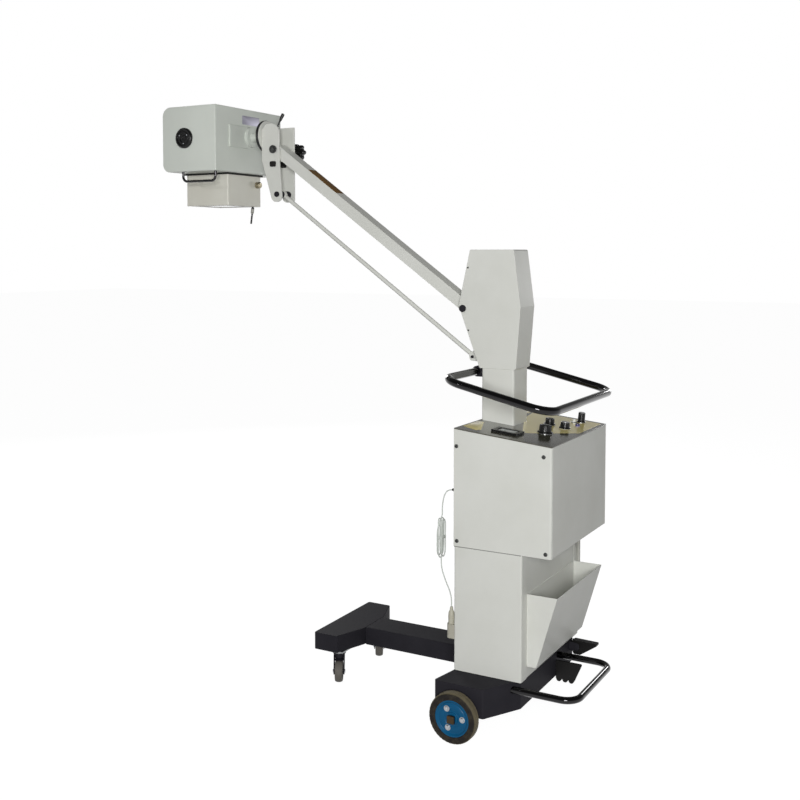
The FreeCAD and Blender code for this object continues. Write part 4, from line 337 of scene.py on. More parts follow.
def tyre_rubber(name, tone, trodden):
    """Moulded black rubber, dulled brown where it runs on the floor: the mark 'trodden' is 1 there.
    Fine grit, 1.5 mm, roughens the tread."""
    made, tree, out = bare_material(name)
    place = add(tree, "TexCoord").outputs["Object"]
    grit = add(tree, "TexNoise", {"Scale": 620.0, "Detail": 3.0}, {"Vector": place})
    dust = add(tree, "TexNoise", {"Scale": 45.0, "Detail": 5.0, "Roughness": 0.65}, {"Vector": place})
    on_tread = add(tree, "Attribute", {"attribute_name": "trodden"})
    amount = add(tree, "Math", {"operation": "MULTIPLY_ADD", 1: 0.75}, {0: on_tread.outputs["Fac"]})
    haze = add(tree, "MapRange", {"From Min": 0.45, "From Max": 0.75, "To Max": 0.25},
               {"Value": dust.outputs["Fac"]})
    tree.links.new(haze.outputs[0], amount.inputs[2])
    tint = add(tree, "Mix", {"data_type": "RGBA"}, {"Factor": amount.outputs[0]})
    tint.inputs[6].default_value, tint.inputs[7].default_value = colour(tone), colour(trodden)
    bump = add(tree, "Bump", {"Strength": 0.25, "Distance": 0.0005}, {"Height": grit.outputs["Fac"]})
    shader = add(tree, "BsdfPrincipled", {"Roughness": 0.6, "IOR": 1.3},
                 {"Base Color": tint.outputs[2], "Normal": bump.outputs[0]})
    tree.links.new(shader.outputs[0], out.inputs[0])
    return made


def bare_metal(name, tone, roughness, brushed=0.0, mottle=0.0, worn="#6B5A45"):
    """Metal with no paint. Brushed sets how far 1 mm streaks change its gloss, and mottle how much
    of it the second tone, its oxide, covers."""
    made, tree, out = bare_material(name)
    place = add(tree, "TexCoord").outputs["Object"]
    stretch = add(tree, "Mapping", {"Scale": (60, 60, 900)}, {"Vector": place})
    streak = add(tree, "TexNoise", {"Scale": 1.0, "Detail": 3.0}, {"Vector": stretch.outputs[0]})
    patch = add(tree, "TexNoise", {"Scale": 160.0, "Detail": 4.0}, {"Vector": place})
    cover = add(tree, "MapRange", {"From Min": 0.62 - 0.4 * mottle, "From Max": 0.70,
                                   "To Max": min(1.0, mottle * 2)}, {"Value": patch.outputs["Fac"]})
    tint = add(tree, "Mix", {"data_type": "RGBA"}, {"Factor": cover.outputs[0]})
    tint.inputs[6].default_value, tint.inputs[7].default_value = colour(tone), colour(worn)
    gloss = add(tree, "MapRange", {"To Min": roughness, "To Max": roughness + brushed + 0.03},
                {"Value": streak.outputs["Fac"]})
    shader = add(tree, "BsdfPrincipled", {"Metallic": 1.0},
                 {"Base Color": tint.outputs[2], "Roughness": gloss.outputs[0]})
    tree.links.new(shader.outputs[0], out.inputs[0])
    return made


rear_rubber = tyre_rubber("moulded_tyre_rubber", "#15110F", "#6E6650")
blue_enamel = enamel("gloss_blue_enamel", "#065C86", "#054E76", 0.34, 0.05, 0.05, 1.25)
bright_zinc = bare_metal("bright_zinc_plate", "#A9ABAE", 0.30, 0.12)
browned_steel = bare_metal("browned_steel_nut", "#443B2E", 0.45, 0.1, 0.4, "#57402A")

tyre_line = two_sided([(57.5, 16, 1.0), (61.5, 16, 0.6), (62.5, 15.2, 0.6), (70.5, 15.2, 0.6), (71.5, 16, 0.6),
                       (80, 16, 6.5), (80, 8.6, 0.3), (78.8, 7.8, 0.3), (78.8, 6.6, 0.3), (80, 5.8, 0.3)], 5)
disc_line = rounded([
    (10.05, 15, 0.5), (19, 15, 2), (20, 10, 2), (26, 10, 1), (27.5, 11.2, 1), (42.5, 11.2, 1), (44, 10, 1),
    (48.5, 10, 3), (53, 15, 1.5), (57.3, 15, 0.8), (57.3, -15, 0.8), (53, -15, 1), (48.5, 2, 3), (20, 2, 2),
    (20, -15, 1), (10.05, -15, 0.5)], closed=True, steps=4) * MM
hexagon = np.array([(math.cos(a), math.sin(a)) for a in np.arange(6) * turn / 6])


def bolt_head(radius, height):
    """A hexagon head with its top edge rounded off, in millimetres."""
    return plate(radius * MM * hexagon, 0, height * MM, 0.9 * MM, 3)


for side, out_y in (("near", -1), ("far", 1)):
    hub, axis = np.array([AXLE, out_y * WHEEL_Y, WHEEL_Z]), (0, out_y, 0)
    cover = turned(tyre_line, TYRE_STEPS)
    sipe = np.clip(np.cos(np.arange(TYRE_STEPS) * turn / TYRE_STEPS * SIPES) * 3 - 2, 0, 1)
    shoulder = np.clip((np.abs(tyre_line[:, 1]) - 9.5 * MM) / MM, 0, 1) * (tyre_line[:, 0] > 77 * MM)
    cover[..., :2] *= 1 - 0.010 * sipe[None, :, None] * shoulder[:, None, None]
    tyre = made_of(f"tyre_{side}_moulded", [shell(stood(cover, hub, axis), loop=True)], rear_rubber,
                   f"wheel_{side}", [f"tyre_{side}"])
    across = places(tyre) - hub
    marked(tyre, "trodden", np.clip((np.hypot(across[:, 0], across[:, 2]) - 76 * MM) / (2 * MM), 0, 1))
    made_of(f"wheel_disc_{side}_enamelled", [shell(stood(turned(disc_line, 128), hub, axis), loop=True)],
            blue_enamel, f"wheel_{side}", [f"wheel_disc_{side}"])
    bolts = []
    for k in range(BOLTS):
        spoke = turn * k / BOLTS + 0.07
        seat = hub + np.array([math.cos(spoke), 0, math.sin(spoke)]) * BOLT_CIRCLE + np.array(axis) * DISC_FACE
        bolts += [shell(stood(puck(9.5, 1.2, 0.4), seat, axis)),
                  shell(stood(bolt_head(7, 5.2), seat, axis), caps=True)]
    made_of(f"wheel_bolts_{side}", bolts, bright_zinc, f"wheel_{side}")
pressed("axle_nuts", browned_steel, 0.6)

# Casters: grey rubber wheels in black forks, on zinc-plated plates under the crossbeam. Both have
# swung round by the same angle, and a curved hood joins each fork to its swivel race.
CASTER_X, CASTER_Y, CASTER_Z = AXLE - 575 * MM, 141 * MM, 37.5 * MM
SWING, TRAIL = math.radians(28.5), 22 * MM
caster_grey = tyre_rubber("grey_caster_rubber", "#3A3833", "#74706A")
caster_axis = np.array([math.cos(SWING), math.sin(SWING), 0])
caster_line = two_sided([(6, 12, 0.8), (12, 12, 1), (13.5, 9, 1.5), (24, 9, 1.5), (26, 12.6, 1), (31, 14, 3),
                         (35, 12, 4), (37.5, 4, 12)], 4)
race_line = rounded([(0, 76, 0), (15, 76, 1), (18, 84, 2), (18, 100, 1), (25, 102, 1), (25, 110, 1),
                     (0, 110, 0)]) * MM
arc = np.linspace(math.radians(42), math.radians(104), 16)[:, None]
rim = np.array([(40.6, -15.8), (42.2, -15.8), (42.2, 15.8), (40.6, 15.8)]) * MM
hood = np.stack([rim[:, 0] * np.cos(arc), rim[:, 0] * np.sin(arc), rim[:, 1] + 0 * arc], -1)
for side, out_y in (("near", -1), ("far", 1)):
    hub = np.array([CASTER_X + TRAIL * math.sin(SWING), out_y * CASTER_Y - TRAIL * math.cos(SWING), CASTER_Z])
    roller = made_of(f"caster_wheel_{side}_moulded",
                     [shell(stood(turned(caster_line, 96), hub, caster_axis, (0, 0, 1)), loop=True)],
                     caster_grey, f"caster_roller_{side}", [f"caster_wheel_{side}"])
    across = places(roller) - hub
    off_axis = np.linalg.norm(across - (across @ caster_axis)[:, None] * caster_axis, axis=1)
    marked(roller, "trodden", np.clip((off_axis - 27 * MM) / (4 * MM), 0, 1))
    ends = [shell(stood(bolt_head(6.5, 4.5), hub + caster_axis * s * 17.6 * MM, caster_axis * s, (0, 0, 1)),
                  caps=True) for s in (-1, 1)]
    made_of(f"caster_axle_nuts_{side}", ends, bright_zinc, f"caster_{side}")
    made_of(f"caster_hood_{side}",
            [shell(stood(hood, hub, caster_axis, np.cross((0, 0, 1), caster_axis)), caps=True),
             shell(stood(turned(race_line, 48), (CASTER_X, out_y * CASTER_Y, 0), (0, 0, 1)))],
            black_enamel, f"caster_{side}")
pressed("caster_mounts", bare_metal("dull_zinc_plate", "#8F9192", 0.38, 0.15), 0.4)

# Foot bar and push handle: bent chrome-plated tube. It mirrors a dark room, so the plate itself is
# written dark, and a clear coat gives it the flash of the lamps and the pale rims of a mirror.
chrome = bare_metal("chrome_plated_tube", "#1D1C1E", 0.06)
plating = next(node for node in chrome.node_tree.nodes if node.type == "BSDF_PRINCIPLED")
plating.inputs["Coat Weight"].default_value, plating.inputs["Coat Roughness"].default_value = 0.55, 0.03


def tube(line, radius, normal, sides=28, closed=False):
    """A round tube along a line that lies in one plane: at each point a circle, square to the line,
    spanned by the plane's normal and the normal crossed with the line's direction."""
    line = np.asarray(line, float)
    ahead = np.roll(line, -1, 0) - np.roll(line, 1, 0) if closed else np.gradient(line, axis=0)
    ahead /= np.linalg.norm(ahead, axis=1, keepdims=True)
    normal = np.asarray(normal, float) / np.linalg.norm(normal)
    beside = np.cross(normal, ahead)
    beside /= np.linalg.norm(beside, axis=1, keepdims=True)
    angle = (np.arange(sides) * turn / sides)[None, :, None]
    circle = beside[:, None] * np.cos(angle) + normal * np.sin(angle)
    return shell(line[:, None] + circle * radius, loop=closed, caps=not closed)


bar_root, bar_tip, bar_z = 135.5, 345, 147
bar_line = rounded([(*behind_axle(bar_root, -258, bar_z), 0), (*behind_axle(bar_tip, -258, bar_z), 50 * MM),
                    (*behind_axle(bar_tip, 91, bar_z), 50 * MM), (*behind_axle(bar_root, 91, bar_z), 0)], steps=16)
made_of("foot_bar_chromed", [tube(bar_line, 11 * MM, (0, 0, 1))], chrome, "root", ["foot_bar"], 60)

front_x, rear_x, front_z, rear_z, half_span = -89, 272, 1115, 1032, 300
handle_line = rounded([(*behind_axle(x, y, z), 65 * MM) for x, y, z in (
    (front_x, -half_span, front_z), (rear_x, -half_span, rear_z), (rear_x, half_span, rear_z),
    (front_x, half_span, front_z))], closed=True, steps=20)
made_of("push_handle_chromed",
        [tube(handle_line, 13 * MM, (front_z - rear_z, 0, rear_x - front_x), 36, closed=True)],
        chrome, "root", ["push_handle"], 60)
moulded_rubber = tyre_rubber("black_moulded_rubber", "#100F0F", "#151414")
pressed("cable_cleat", moulded_rubber, 1.0)
pressed("brake_pedal", moulded_rubber, 1.0)

# Column, cassette bin and control box: folded steel sheet, welded and stove enamelled off-white.
# The same enamel covers the mast, the spring housing with the link rod's lugs, the arm, the link
# rod and the head bracket.
LINK_FOOT = behind_axle(-118, 0, 1160)
white_enamel = enamel("off_white_stove_enamel", "#DFE0DA", "#D9DAD3", 0.42, 0.04, 0.06, 1.33)
for node, rounding in (("column_shell", 1.0), ("column_rear_panel", 0.5), ("cassette_bin", 0.8),
                       ("control_box", 0.6), ("box_side_panels", 0.9), ("mast_post", 0), ("spring_housing", 1.6),
                       ("arm_beam", 0), ("link_rod", 0), ("head_bracket", 1.2)):
    pressed(node, white_enamel, rounding)
pivots = bpy.data.objects["arm_pivots_skin"]
pivots.data.materials.append(white_enamel)
from_link = np.linalg.norm((places(pivots) - LINK_FOOT)[:, [0, 2]], axis=1)
for face in pivots.data.polygons:
    face.material_index = int(5.5 * MM < from_link[list(face.vertices)].max() < 60 * MM)
pressed("cable_conduit", enamel("grey_conduit_sleeve", "#B9B9B2", "#AEAEA7", 0.5, 0.0), 0.4)


def moulded(name, tone, roughness, grain=0.05, coat=0.0):
    """Moulded plastic: a close grain of 1 mm in its skin and a slight change of gloss."""
    made, tree, out = bare_material(name)
    place = add(tree, "TexCoord").outputs["Object"]
    skin = add(tree, "TexNoise", {"Scale": 900.0, "Detail": 2.0}, {"Vector": place})
    slow = add(tree, "TexNoise", {"Scale": 60.0, "Detail": 2.0}, {"Vector": place})
    gloss = add(tree, "MapRange", {"To Min": roughness - 0.04, "To Max": roughness + 0.06},
                {"Value": slow.outputs["Fac"]})
    bump = add(tree, "Bump", {"Strength": grain, "Distance": 0.0003}, {"Height": skin.outputs["Fac"]})
    shader = add(tree, "BsdfPrincipled", {"Base Color": colour(tone), "IOR": 1.49, "Coat Weight": coat,
                                          "Specular IOR Level": 0.3 if tone < "#40" else 0.5},
                 {"Roughness": gloss.outputs[0], "Normal": bump.outputs[0]})
    tree.links.new(shader.outputs[0], out.inputs[0])
    return made


def pan_screw(radius, height, steps=48):
    """A pan-head screw in millimetres: a dome over rings and angle, sunk where the cross recess's two
    arms lie."""
    ring = np.array([0, 1, 1, 0.98, 0.92, 0.82, 0.7, 0.62, 0.6, 0.45, 0.3, 0.16, 0.14, 0.07, 0])
    rise = np.array([0, 0, 0.45, 0.6, 0.74, 0.86, 0.93, 0.96, 0.97, 0.99, 1, 1, 1, 1, 1])
    angle = np.arange(steps) * turn / steps
    x, y = ring[:, None] * np.cos(angle), ring[:, None] * np.sin(angle)
    recess = (np.minimum(np.abs(x), np.abs(y)) < 0.13) & (ring[:, None] < 0.61)
    return np.stack([x * radius, y * radius, (rise[:, None] - 0.55 * recess) * height], -1) * MM


# Screw heads and bolts: zinc plate written dark, a painted reflection of the dark room that it mirrors.
screw_metal = bare_metal("screw_heads_painted_dark_reflection", "#4C4D4C", 0.34, 0.1)
heads = [shell(stood(pan_screw(6.4, 2.8), behind_axle(x, out_y * 258.2, z), (0, out_y, 0))) for out_y in (-1, 1)
         for x, z in ((-58, 898), (238, 890), (-56, 593), (246, 590))]
heads.append(shell(stood(pan_screw(4, 2), behind_axle(168.1, 205, 552), (1, 0, 0), (0, 1, 0))))
heads += [shell(stood(pan_screw(3.0, 1.6), behind_axle(x, out_y * 60, z), (0, out_y, 0))) for out_y in (-1, 1)
          for x, z in ((-114, 1463), (-112, 1253))]
made_of("casing_screws", heads, screw_metal, "root")
# A thin grey strip along the foot of each side panel: painted shadow of the gap between the side panel and the
# column.
seam = [shell(stood(plate(oblong(231 * MM, 2.4 * MM, 0.4 * MM), 0, 0.35 * MM, 0.1 * MM, 1),
                    behind_axle(50, out_y * 258, 574.6), (0, out_y, 0)), caps=True) for out_y in (-1, 1)]
made_of("box_seam_painted_shadow", seam, moulded("grey_painted_seam_shadow", "#7E7E7A", 0.6), "root")

# Control panel: a sheet with a glossy cream film in fields, a meter, four knobs, a lamp and a button. The olive-grey
# sheet left bare outside the fields is painted reflection of the mast and the dark room in the glossy film.
# It slopes down to the rear by 5.8 degrees, so everything on it stands square to that slope.
SLOPE, PANEL_FRONT, PANEL_TOP = math.radians(5.8), -68, 956
panel_along = np.array([math.cos(SLOPE), 0, -math.sin(SLOPE)])
panel_up = np.array([math.sin(SLOPE), 0, math.cos(SLOPE)])
METER, POWER_BUTTON, PILOT_LAMP = (81, -171), (176, 177), (206, 130)


def down_slope(x):
    """The way down the panel's slope from its front edge to x millimetres behind the axle."""
    return (x - PANEL_FRONT) / math.cos(SLOPE)


def on_panel(points, x=PANEL_FRONT, y=0.0):
    """Local points stood on the panel, this far behind the axle and off the middle, in millimetres."""
    foot = behind_axle(PANEL_FRONT, y, PANEL_TOP) + panel_along * down_slope(x) * MM
    return stood(points, foot, panel_up, panel_along)


phenolic = moulded("black_phenolic", "#0E0E0E", 0.26, 0.03)
cream_film = enamel("gloss_cream_film", "#F4E6A0", "#EEDE94", 0.16, 0.35, 0.02, 1.4)
# The bare olive-grey sheet is painted reflection of the mast and the dark room.
pressed("control_panel", enamel("olive_painted_reflection_panel", "#4F4E40", "#47463A", 0.16, 0.5, 0.03, 1.4), 0.5)
FILM_LOW, FILM_TOP, FILM_EDGE = 0.02 * MM, 0.34 * MM, 0.12 * MM
# The third field's slanted edge follows the painted reflection of the mast.
fields = [rounded([(down_slope(x), y, r) for x, y, r in field], closed=True, steps=5) * MM for field in (
    [(-62, -204, 4), (-4, -226, 4), (4, -206, 4), (-40, -88, 4), (-62, -88, 4)],
    [(-62, 88, 4), (-40, 88, 4), (4, 206, 4), (-4, 226, 4), (-62, 204, 4)],
    [(116, -134, 4), (150, -100, 6), (252, 24, 4), (252, 240, 6), (6, 240, 6), (28, 92, 6)])]


def pierced(outline, middle, radius, steps=480):
    """A film with a round hole: points at even steps along the outline, each paired with the hole's
    edge in the same direction from the hole's middle."""
    ends = np.vstack([outline, outline[:1]])
    run = np.concatenate([[0], np.cumsum(np.linalg.norm(np.diff(ends, axis=0), axis=1))])
    rim = np.stack([np.interp(np.arange(steps) * run[-1] / steps, run, ends[:, k]) for k in (0, 1)], -1)
    ray = (rim - middle) / np.linalg.norm(rim - middle, axis=1, keepdims=True)
    hole = middle + ray * radius
    rings = ((rim, FILM_LOW), (rim - ray * FILM_EDGE, FILM_TOP), (hole, FILM_TOP), (hole, FILM_LOW))
    return np.stack([np.hstack([ring, np.full((steps, 1), height)]) for ring, height in rings])


films = [shell(on_panel(plate(line, FILM_LOW, FILM_TOP, FILM_EDGE, 2)), caps=True) for line in fields[:2]]
button_middle = np.array([down_slope(POWER_BUTTON[0]), POWER_BUTTON[1]]) * MM
films.append(shell(on_panel(pierced(fields[2], button_middle, 9 * MM)), loop=True))
made_of("panel_film_fields", films, cream_film, "root")

pressed("panel_meter", phenolic, 0.6)
dial = plate(oblong(54 * MM, 35 * MM, 2 * MM), 4.9 * MM, 5.5 * MM, 0.2 * MM, 2)
made_of("meter_scale_plate", [shell(on_panel(dial, *METER), caps=True)],
        moulded("white_scale_card", "#C9CDCB", 0.3), "root")
QUARTER_TURN = np.array([[0, 1, 0], [-1, 0, 0], [0, 0, 1]])
marks = []
for k in range(11):
    mark_turn = math.radians(140 - 10 * k)
    spoke = np.array([math.cos(mark_turn), math.sin(mark_turn)])
    long = 4.2 if k % 5 == 0 else 2.8
    middle = spoke * (24 - long / 2) * MM + np.array([0, -13]) * MM
    line = oblong(long * MM, 0.7 * MM, 0.2 * MM) @ np.array([spoke, (-spoke[1], spoke[0])]) + middle
    mark = plate(line, 5.4 * MM, 5.7 * MM, 0.05 * MM, 1) @ QUARTER_TURN
    marks.append(shell(on_panel(mark, *METER), caps=True))
made_of("meter_scale_marks", marks, phenolic, "root")


def fluted(radius, height, flutes, steps=160):
    """A knob's grip and skirt, in millimetres: the profile's radius, less 7 % of a narrow cosine wave
    round it where the grip stands above its skirt."""
    line = rounded([(0, 0.6, 0), (radius, 0.6, 0), (radius, 4.6, 1.0), (radius * 0.83, 6.6, 0.8),
                    (radius * 0.78, height, 1.6), (radius * 0.60, height, 0.4), (radius * 0.57, height - 0.6, 0.2),
                    (0, height - 0.6, 0)], steps=4)
    around = turned(line * MM, steps)
    wave = np.clip(np.cos(np.arange(steps) * turn / steps * flutes) * 1.6 - 0.5, 0, 1)
    grip = np.clip((line[:, 1] - 7) / 2, 0, 1) * (line[:, 0] > radius * 0.62)
    around[..., :2] *= 1 - 0.07 * wave[None, :, None] * grip[:, None, None]
    return around


aluminium = bare_metal("turned_aluminium_insert", "#C9CACB", 0.26, 0.12)
ivory = moulded("ivory_plastic", "#E6E0C4", 0.3)
white_mark = moulded("white_pointer_line", "#E8E8E4", 0.4)
knobs = {  # body, behind the axle, off the middle, radius, height, flutes, and the dial ring's finish and slot
    "line_voltage_knob": ("knob_line", 169, -73, 25, 26, 10, aluminium, "aluminium"),
    "tube_voltage_knob": ("knob_voltage", 130, 67, 19, 22, 8, aluminium, "aluminium"),
    "tube_current_knob": ("knob_current", 190, 51, 19, 22, 8, ivory, "white_plastic"),
    "timer_knob": ("knob_timer", 192, 204, 15, 34, 8, aluminium, "aluminium")}
for node, (body, x, y, radius, height, flutes, finish, slot) in knobs.items():
    made_of(node + "_moulded", [shell(on_panel(fluted(radius, height, flutes), x, y))], phenolic, body,
            [node])
    pointer = plate(oblong(radius * 0.5 * MM, 1.6 * MM, 0.5 * MM, -radius * 0.42 * MM),
                    (height - 0.7) * MM, (height + 0.1) * MM, 0.15 * MM, 2)
    made_of(node + "_pointer", [shell(on_panel(pointer, x, y), caps=True)], white_mark, body)
    ring = [(radius * 1.04, 0.35), (radius * 1.04, 0.9), (radius * 0.9, 0.9), (radius * 0.9, 0.35)]
    rim = turned(np.array(ring) * MM, 96)
    made_of(node + "_dial_ring", [shell(on_panel(rim, x, y), loop=True)], finish, body)
for node, radius, finish, slot in (("tube_current_knob", 13.4, aluminium, "aluminium"),
                                   ("timer_knob", 10.6, aluminium, "aluminium"),
                                   ("line_voltage_knob", 11.5, phenolic, "black_plastic")):
    body, x, y, height = *knobs[node][:3], knobs[node][4]
    cap = turned(rounded([(0, height - 0.7, 0), (radius, height - 0.7, 0), (radius, height + 0.9, 0.6),
                          (0, height + 1.1, 0)]) * MM, 64)
    made_of(node + "_cap", [shell(on_panel(cap, x, y))], finish, body)

button_line = rounded([(0, 0.4, 0), (5.95, 0.4, 0), (5.95, 12, 1.8), (0, 12.3, 0)]) * MM
made_of("power_button_cap", [shell(on_panel(turned(button_line, 64), *POWER_BUTTON))],
        moulded("white_button_plastic", "#EDEDE6", 0.22, 0.02, 0.3), "power", ["power_button"])
bezel_line = np.array([(10.5, 0.3), (10.5, 2.2), (9.6, 3.0), (7.6, 3.0), (7.6, 0.3)]) * MM
made_of("button_bezel", [shell(on_panel(turned(bezel_line, 72), *POWER_BUTTON), loop=True)],
        bright_zinc, "root")
lens_line = rounded([(0, 0.3, 0), (8.05, 0.3, 0), (8.1, 4, 1), (7.2, 8.3, 2.2), (0, 9.3, 0)]) * MM
violet_lens = moulded("violet_lamp_lens", "#4B4590", 0.1, 0.01, 0.6)
made_of("pilot_lamp_lens", [shell(on_panel(turned(lens_line, 64), *PILOT_LAMP))], violet_lens, "root")

# Arm, link rod and head bracket: square tube between two pins, with a rubber stop across the
# bracket, a lobed clamp knob on the far side and a lever that locks the head's roll.
LIFT, ARM_LENGTH = math.radians(35.8), 972
pivot = behind_axle(-133 - ARM_LENGTH * math.cos(LIFT), 0, 1326 + ARM_LENGTH * math.sin(LIFT))


def from_pivot(ahead, y, above):
    """A point given ahead of, across from and above the arm's upper pivot, in millimetres."""
    return pivot + np.array([-ahead, y, above]) * MM


soft_black = tyre_rubber("black_rubber_stop", "#161514", "#1D1C1B")
stop_bar = plate(oblong(24 * MM, 20 * MM, 5 * MM), -46 * MM, 30 * MM, 1.5 * MM)
made_of("arm_stop", [shell(stood(stop_bar, from_pivot(2, 0, -54), (0, 1, 0)), caps=True)],
        soft_black, "bracket")
caps = [shell(stood(bolt_head(11, 7), from_pivot(0, -45.2, 0), (0, -1, 0)), caps=True),
        shell(stood(puck(15, 2, 0.6, 48), from_pivot(0, -45.1, 0), (0, -1, 0)))]
made_of("upper_pivot_bolt", caps, screw_metal, "bracket")

knob_low, knob_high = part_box("star_knob")
knob_y = (knob_low.y + knob_high.y) / 2
angle = np.arange(210) * turn / 210
lobes = 33 * MM - 7.5 * MM * (0.5 - 0.5 * np.cos(7 * angle)) ** 1.4
star_line = rounded([(0, -12, 0), (28, -12, 3), (33, -8, 4), (33, 8, 4), (27, 12, 4), (12, 12, 1),
                     (11, 10.6, 0.5), (0, 10.6, 0)], steps=4)
star = np.stack([star_line[:, :1] / 33 * lobes * np.cos(angle), star_line[:, :1] / 33 * lobes * np.sin(angle),
                 star_line[:, 1:] * MM + 0 * angle], -1)
made_of("star_knob_moulded", [shell(stood(star, (pivot[0], knob_y, pivot[2]), (0, 1, 0)))],
        phenolic, "star", ["star_knob"], 50)
strip = plate(oblong(150 * MM, 52 * MM, 3 * MM, -238 * MM), 19.52 * MM, 20.1 * MM, 0.2 * MM, 2)
arm_back = np.array([-math.cos(LIFT), 0, math.sin(LIFT)])
made_of("arm_wear_strip", [shell(stood(strip, pivot, np.cross(arm_back, (0, -1, 0)), arm_back), caps=True)],
        enamel("brown_gold_wear_strip", "#6E4E22", "#8C6A36", 0.45, 0.0, 0.06, 1.25), "arm")
nut_spot = (pivot[0], knob_y + 10.5 * MM, pivot[2])
made_of("star_knob_nut", [shell(stood(puck(7, 4, 0.8), nut_spot, (0, 1, 0)))], bright_zinc, "star")
shank = turned([(0, 0), (8 * MM, 0), (8 * MM, knob_y - 40 * MM), (0, knob_y - 40 * MM)], 40)
made_of("star_knob_stud", [shell(stood(shank, (pivot[0], 39.2 * MM, pivot[2]), (0, 1, 0)))],
        screw_metal, "star")

LEAN, LEAN_TURN = math.radians(24), math.radians(30)
lever_foot = from_pivot(33, 24, 71.3)
hub_line = rounded([(0, 0, 0), (9, 0, 0), (9, 10, 2), (5, 13, 1), (0, 13, 0)]) * MM
rod_line = rounded([(3.2, 0, 0), (3.2, 34, 1), (4.8, 40, 2), (6.6, 58, 6), (6.2, 65, 3), (0, 67, 0)]) * MM
rod = turned(np.vstack([[0, 0], rod_line]), 32)
rod_up = (math.sin(LEAN) * math.cos(LEAN_TURN), math.sin(LEAN) * math.sin(LEAN_TURN), math.cos(LEAN))
rod_across = np.cross((-math.sin(LEAN_TURN), math.cos(LEAN_TURN), 0), rod_up)
made_of("lock_lever_moulded",
        [shell(stood(turned(hub_line, 40), lever_foot, (0, 0, 1))),
         shell(stood(rod, from_pivot(33, 24, 79.3), rod_up, rod_across))],
        phenolic, "lever", ["lock_lever"])

ring_line = rounded([(40, 0, 0.3), (59, 0, 1), (59, 4.2, 0.6), (57.4, 4.8, 0.4), (57.4, 6.6, 0.4),
                     (59, 7.2, 0.6), (59, 11.2, 0.8), (40, 11.2, 0.3)], closed=True) * MM
flange_line = rounded([(18.2, 0, 0.3), (42, 0, 0.3), (42, 11, 0.2), (57.6, 11, 0.4), (57.6, 14, 1.2),
                       (18.2, 14, 0.3)], closed=True) * MM
bearing_spot = (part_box("roll_bearing")[0].x, 0, pivot[2] + 53 * MM)
made_of("roll_bearing_flange",
        [shell(stood(turned(flange_line, 128), bearing_spot, (1, 0, 0), (0, 1, 0)), loop=True)],
        white_enamel, "bracket")
made_of("roll_bearing_turned",
        [shell(stood(turned(ring_line, 128), bearing_spot, (1, 0, 0), (0, 1, 0)), loop=True)],
        enamel("gloss_black_bearing", "#151517", "#1A1A1C", 0.3, 0.2), "bracket", ["roll_bearing"])

# Head: a die-bent steel casing with a lid, on a trunnion with a round collar. It is enamelled in a greener tone than
# the column.
HEAD_REAR, HEAD_SIDE = -140, 204
head_enamel = enamel("grey_green_head_enamel", "#DDE2DA", "#D7DCD4", 0.36, 0.12, 0.06, 1.4)
pressed("trunnion", head_enamel, 1.2)
casing = rounded([(-389, -83, 30), (HEAD_REAR, -83, 6), (HEAD_REAR, 157, 6), (-389, 157, 34)],
                 closed=True, steps=10) * MM
lid_line = rounded([(-355, 153, 0), (-139.2, 153, 0), (-139.2, 156.8, 1.2), (-355, 156.8, 1.2)],
                   closed=True, steps=3) * MM
made_of("head_casing_bent",
        [shell(stood(plate(outline, -half * MM, half * MM, edge * MM), pivot, (0, -1, 0)), caps=True)
         for outline, half, edge in ((casing, HEAD_SIDE, 3), (lid_line, HEAD_SIDE + 0.8, 0.4))],
        head_enamel, "head", ["head_casing"])
pressed("head_gasket", soft_black, 0.6)
label = plate(oblong(106 * MM, 33 * MM, 2 * MM), 0.05 * MM, 0.8 * MM, 0.25 * MM, 2)
made_of("blank_rating_plate", [shell(stood(label, from_pivot(-HEAD_REAR, 9, 116), (1, 0, 0), (0, 1, 0)), caps=True)],
        bare_metal("anodised_blank_plate", "#B4B2C0", 0.42, 0.1), "head")
cap_line = rounded([(0, 5.5, 0), (5.5, 5.5, 0.5), (6.5, 7.6, 0.8), (9.5, 7.6, 0.8), (10.5, 4.8, 0.8),
                    (16, 4.8, 0.8), (17.5, 8.4, 1), (22.5, 8.4, 1), (24, 6.2, 0.8), (27.5, 6.2, 0.8),
                    (29, 11, 1.2), (34, 11, 2), (37.5, 7.5, 2), (37.5, 0.2, 0), (0, 0.2, 0)]) * MM
made_of("round_cap_moulded", [shell(stood(turned(cap_line, 128), from_pivot(283, -HEAD_SIDE, 40), (0, -1, 0)))],
        phenolic, "head", ["head_cap"])
cap_screws = [shell(stood(pan_screw(2.4, 1.4), from_pivot(283 + 20 * math.cos(a), -212.3, 40 + 20 * math.sin(a)),
                          (0, -1, 0))) for a in np.arange(3) * turn / 3 + 0.5]
made_of("round_cap_screws", cap_screws, bright_zinc, "head")
grip_line = rounded([(*from_pivot(x, -188, z), r * MM) for x, z, r in (
    (305, -83, 0), (305, -118.3, 19), (153, -118.3, 19), (153, -83, 0))], steps=10)
made_of("head_handle_chromed", [tube(grip_line, 4.7 * MM, (0, 1, 0), 20)], chrome, "head",
        ["head_handle"], 60)
lid_screws = [shell(stood(pan_screw(3.4, 1.6), from_pivot(x, y, 155.3), (0, 0, 1)))
              for x in (158, 340) for y in (-180, 0, 180)]
made_of("head_lid_screws", lid_screws, screw_metal, "head")

# Collimator: a smaller folded box under the head, its beam window below, with a field knob and a
# shutter lever on the operator's side.
warm_enamel = enamel("warm_grey_collimator_enamel", "#E2E1D6", "#DBD9CD", 0.38, 0.1, 0.06, 1.4)
pressed("collimator_housing", warm_enamel, 1.2)
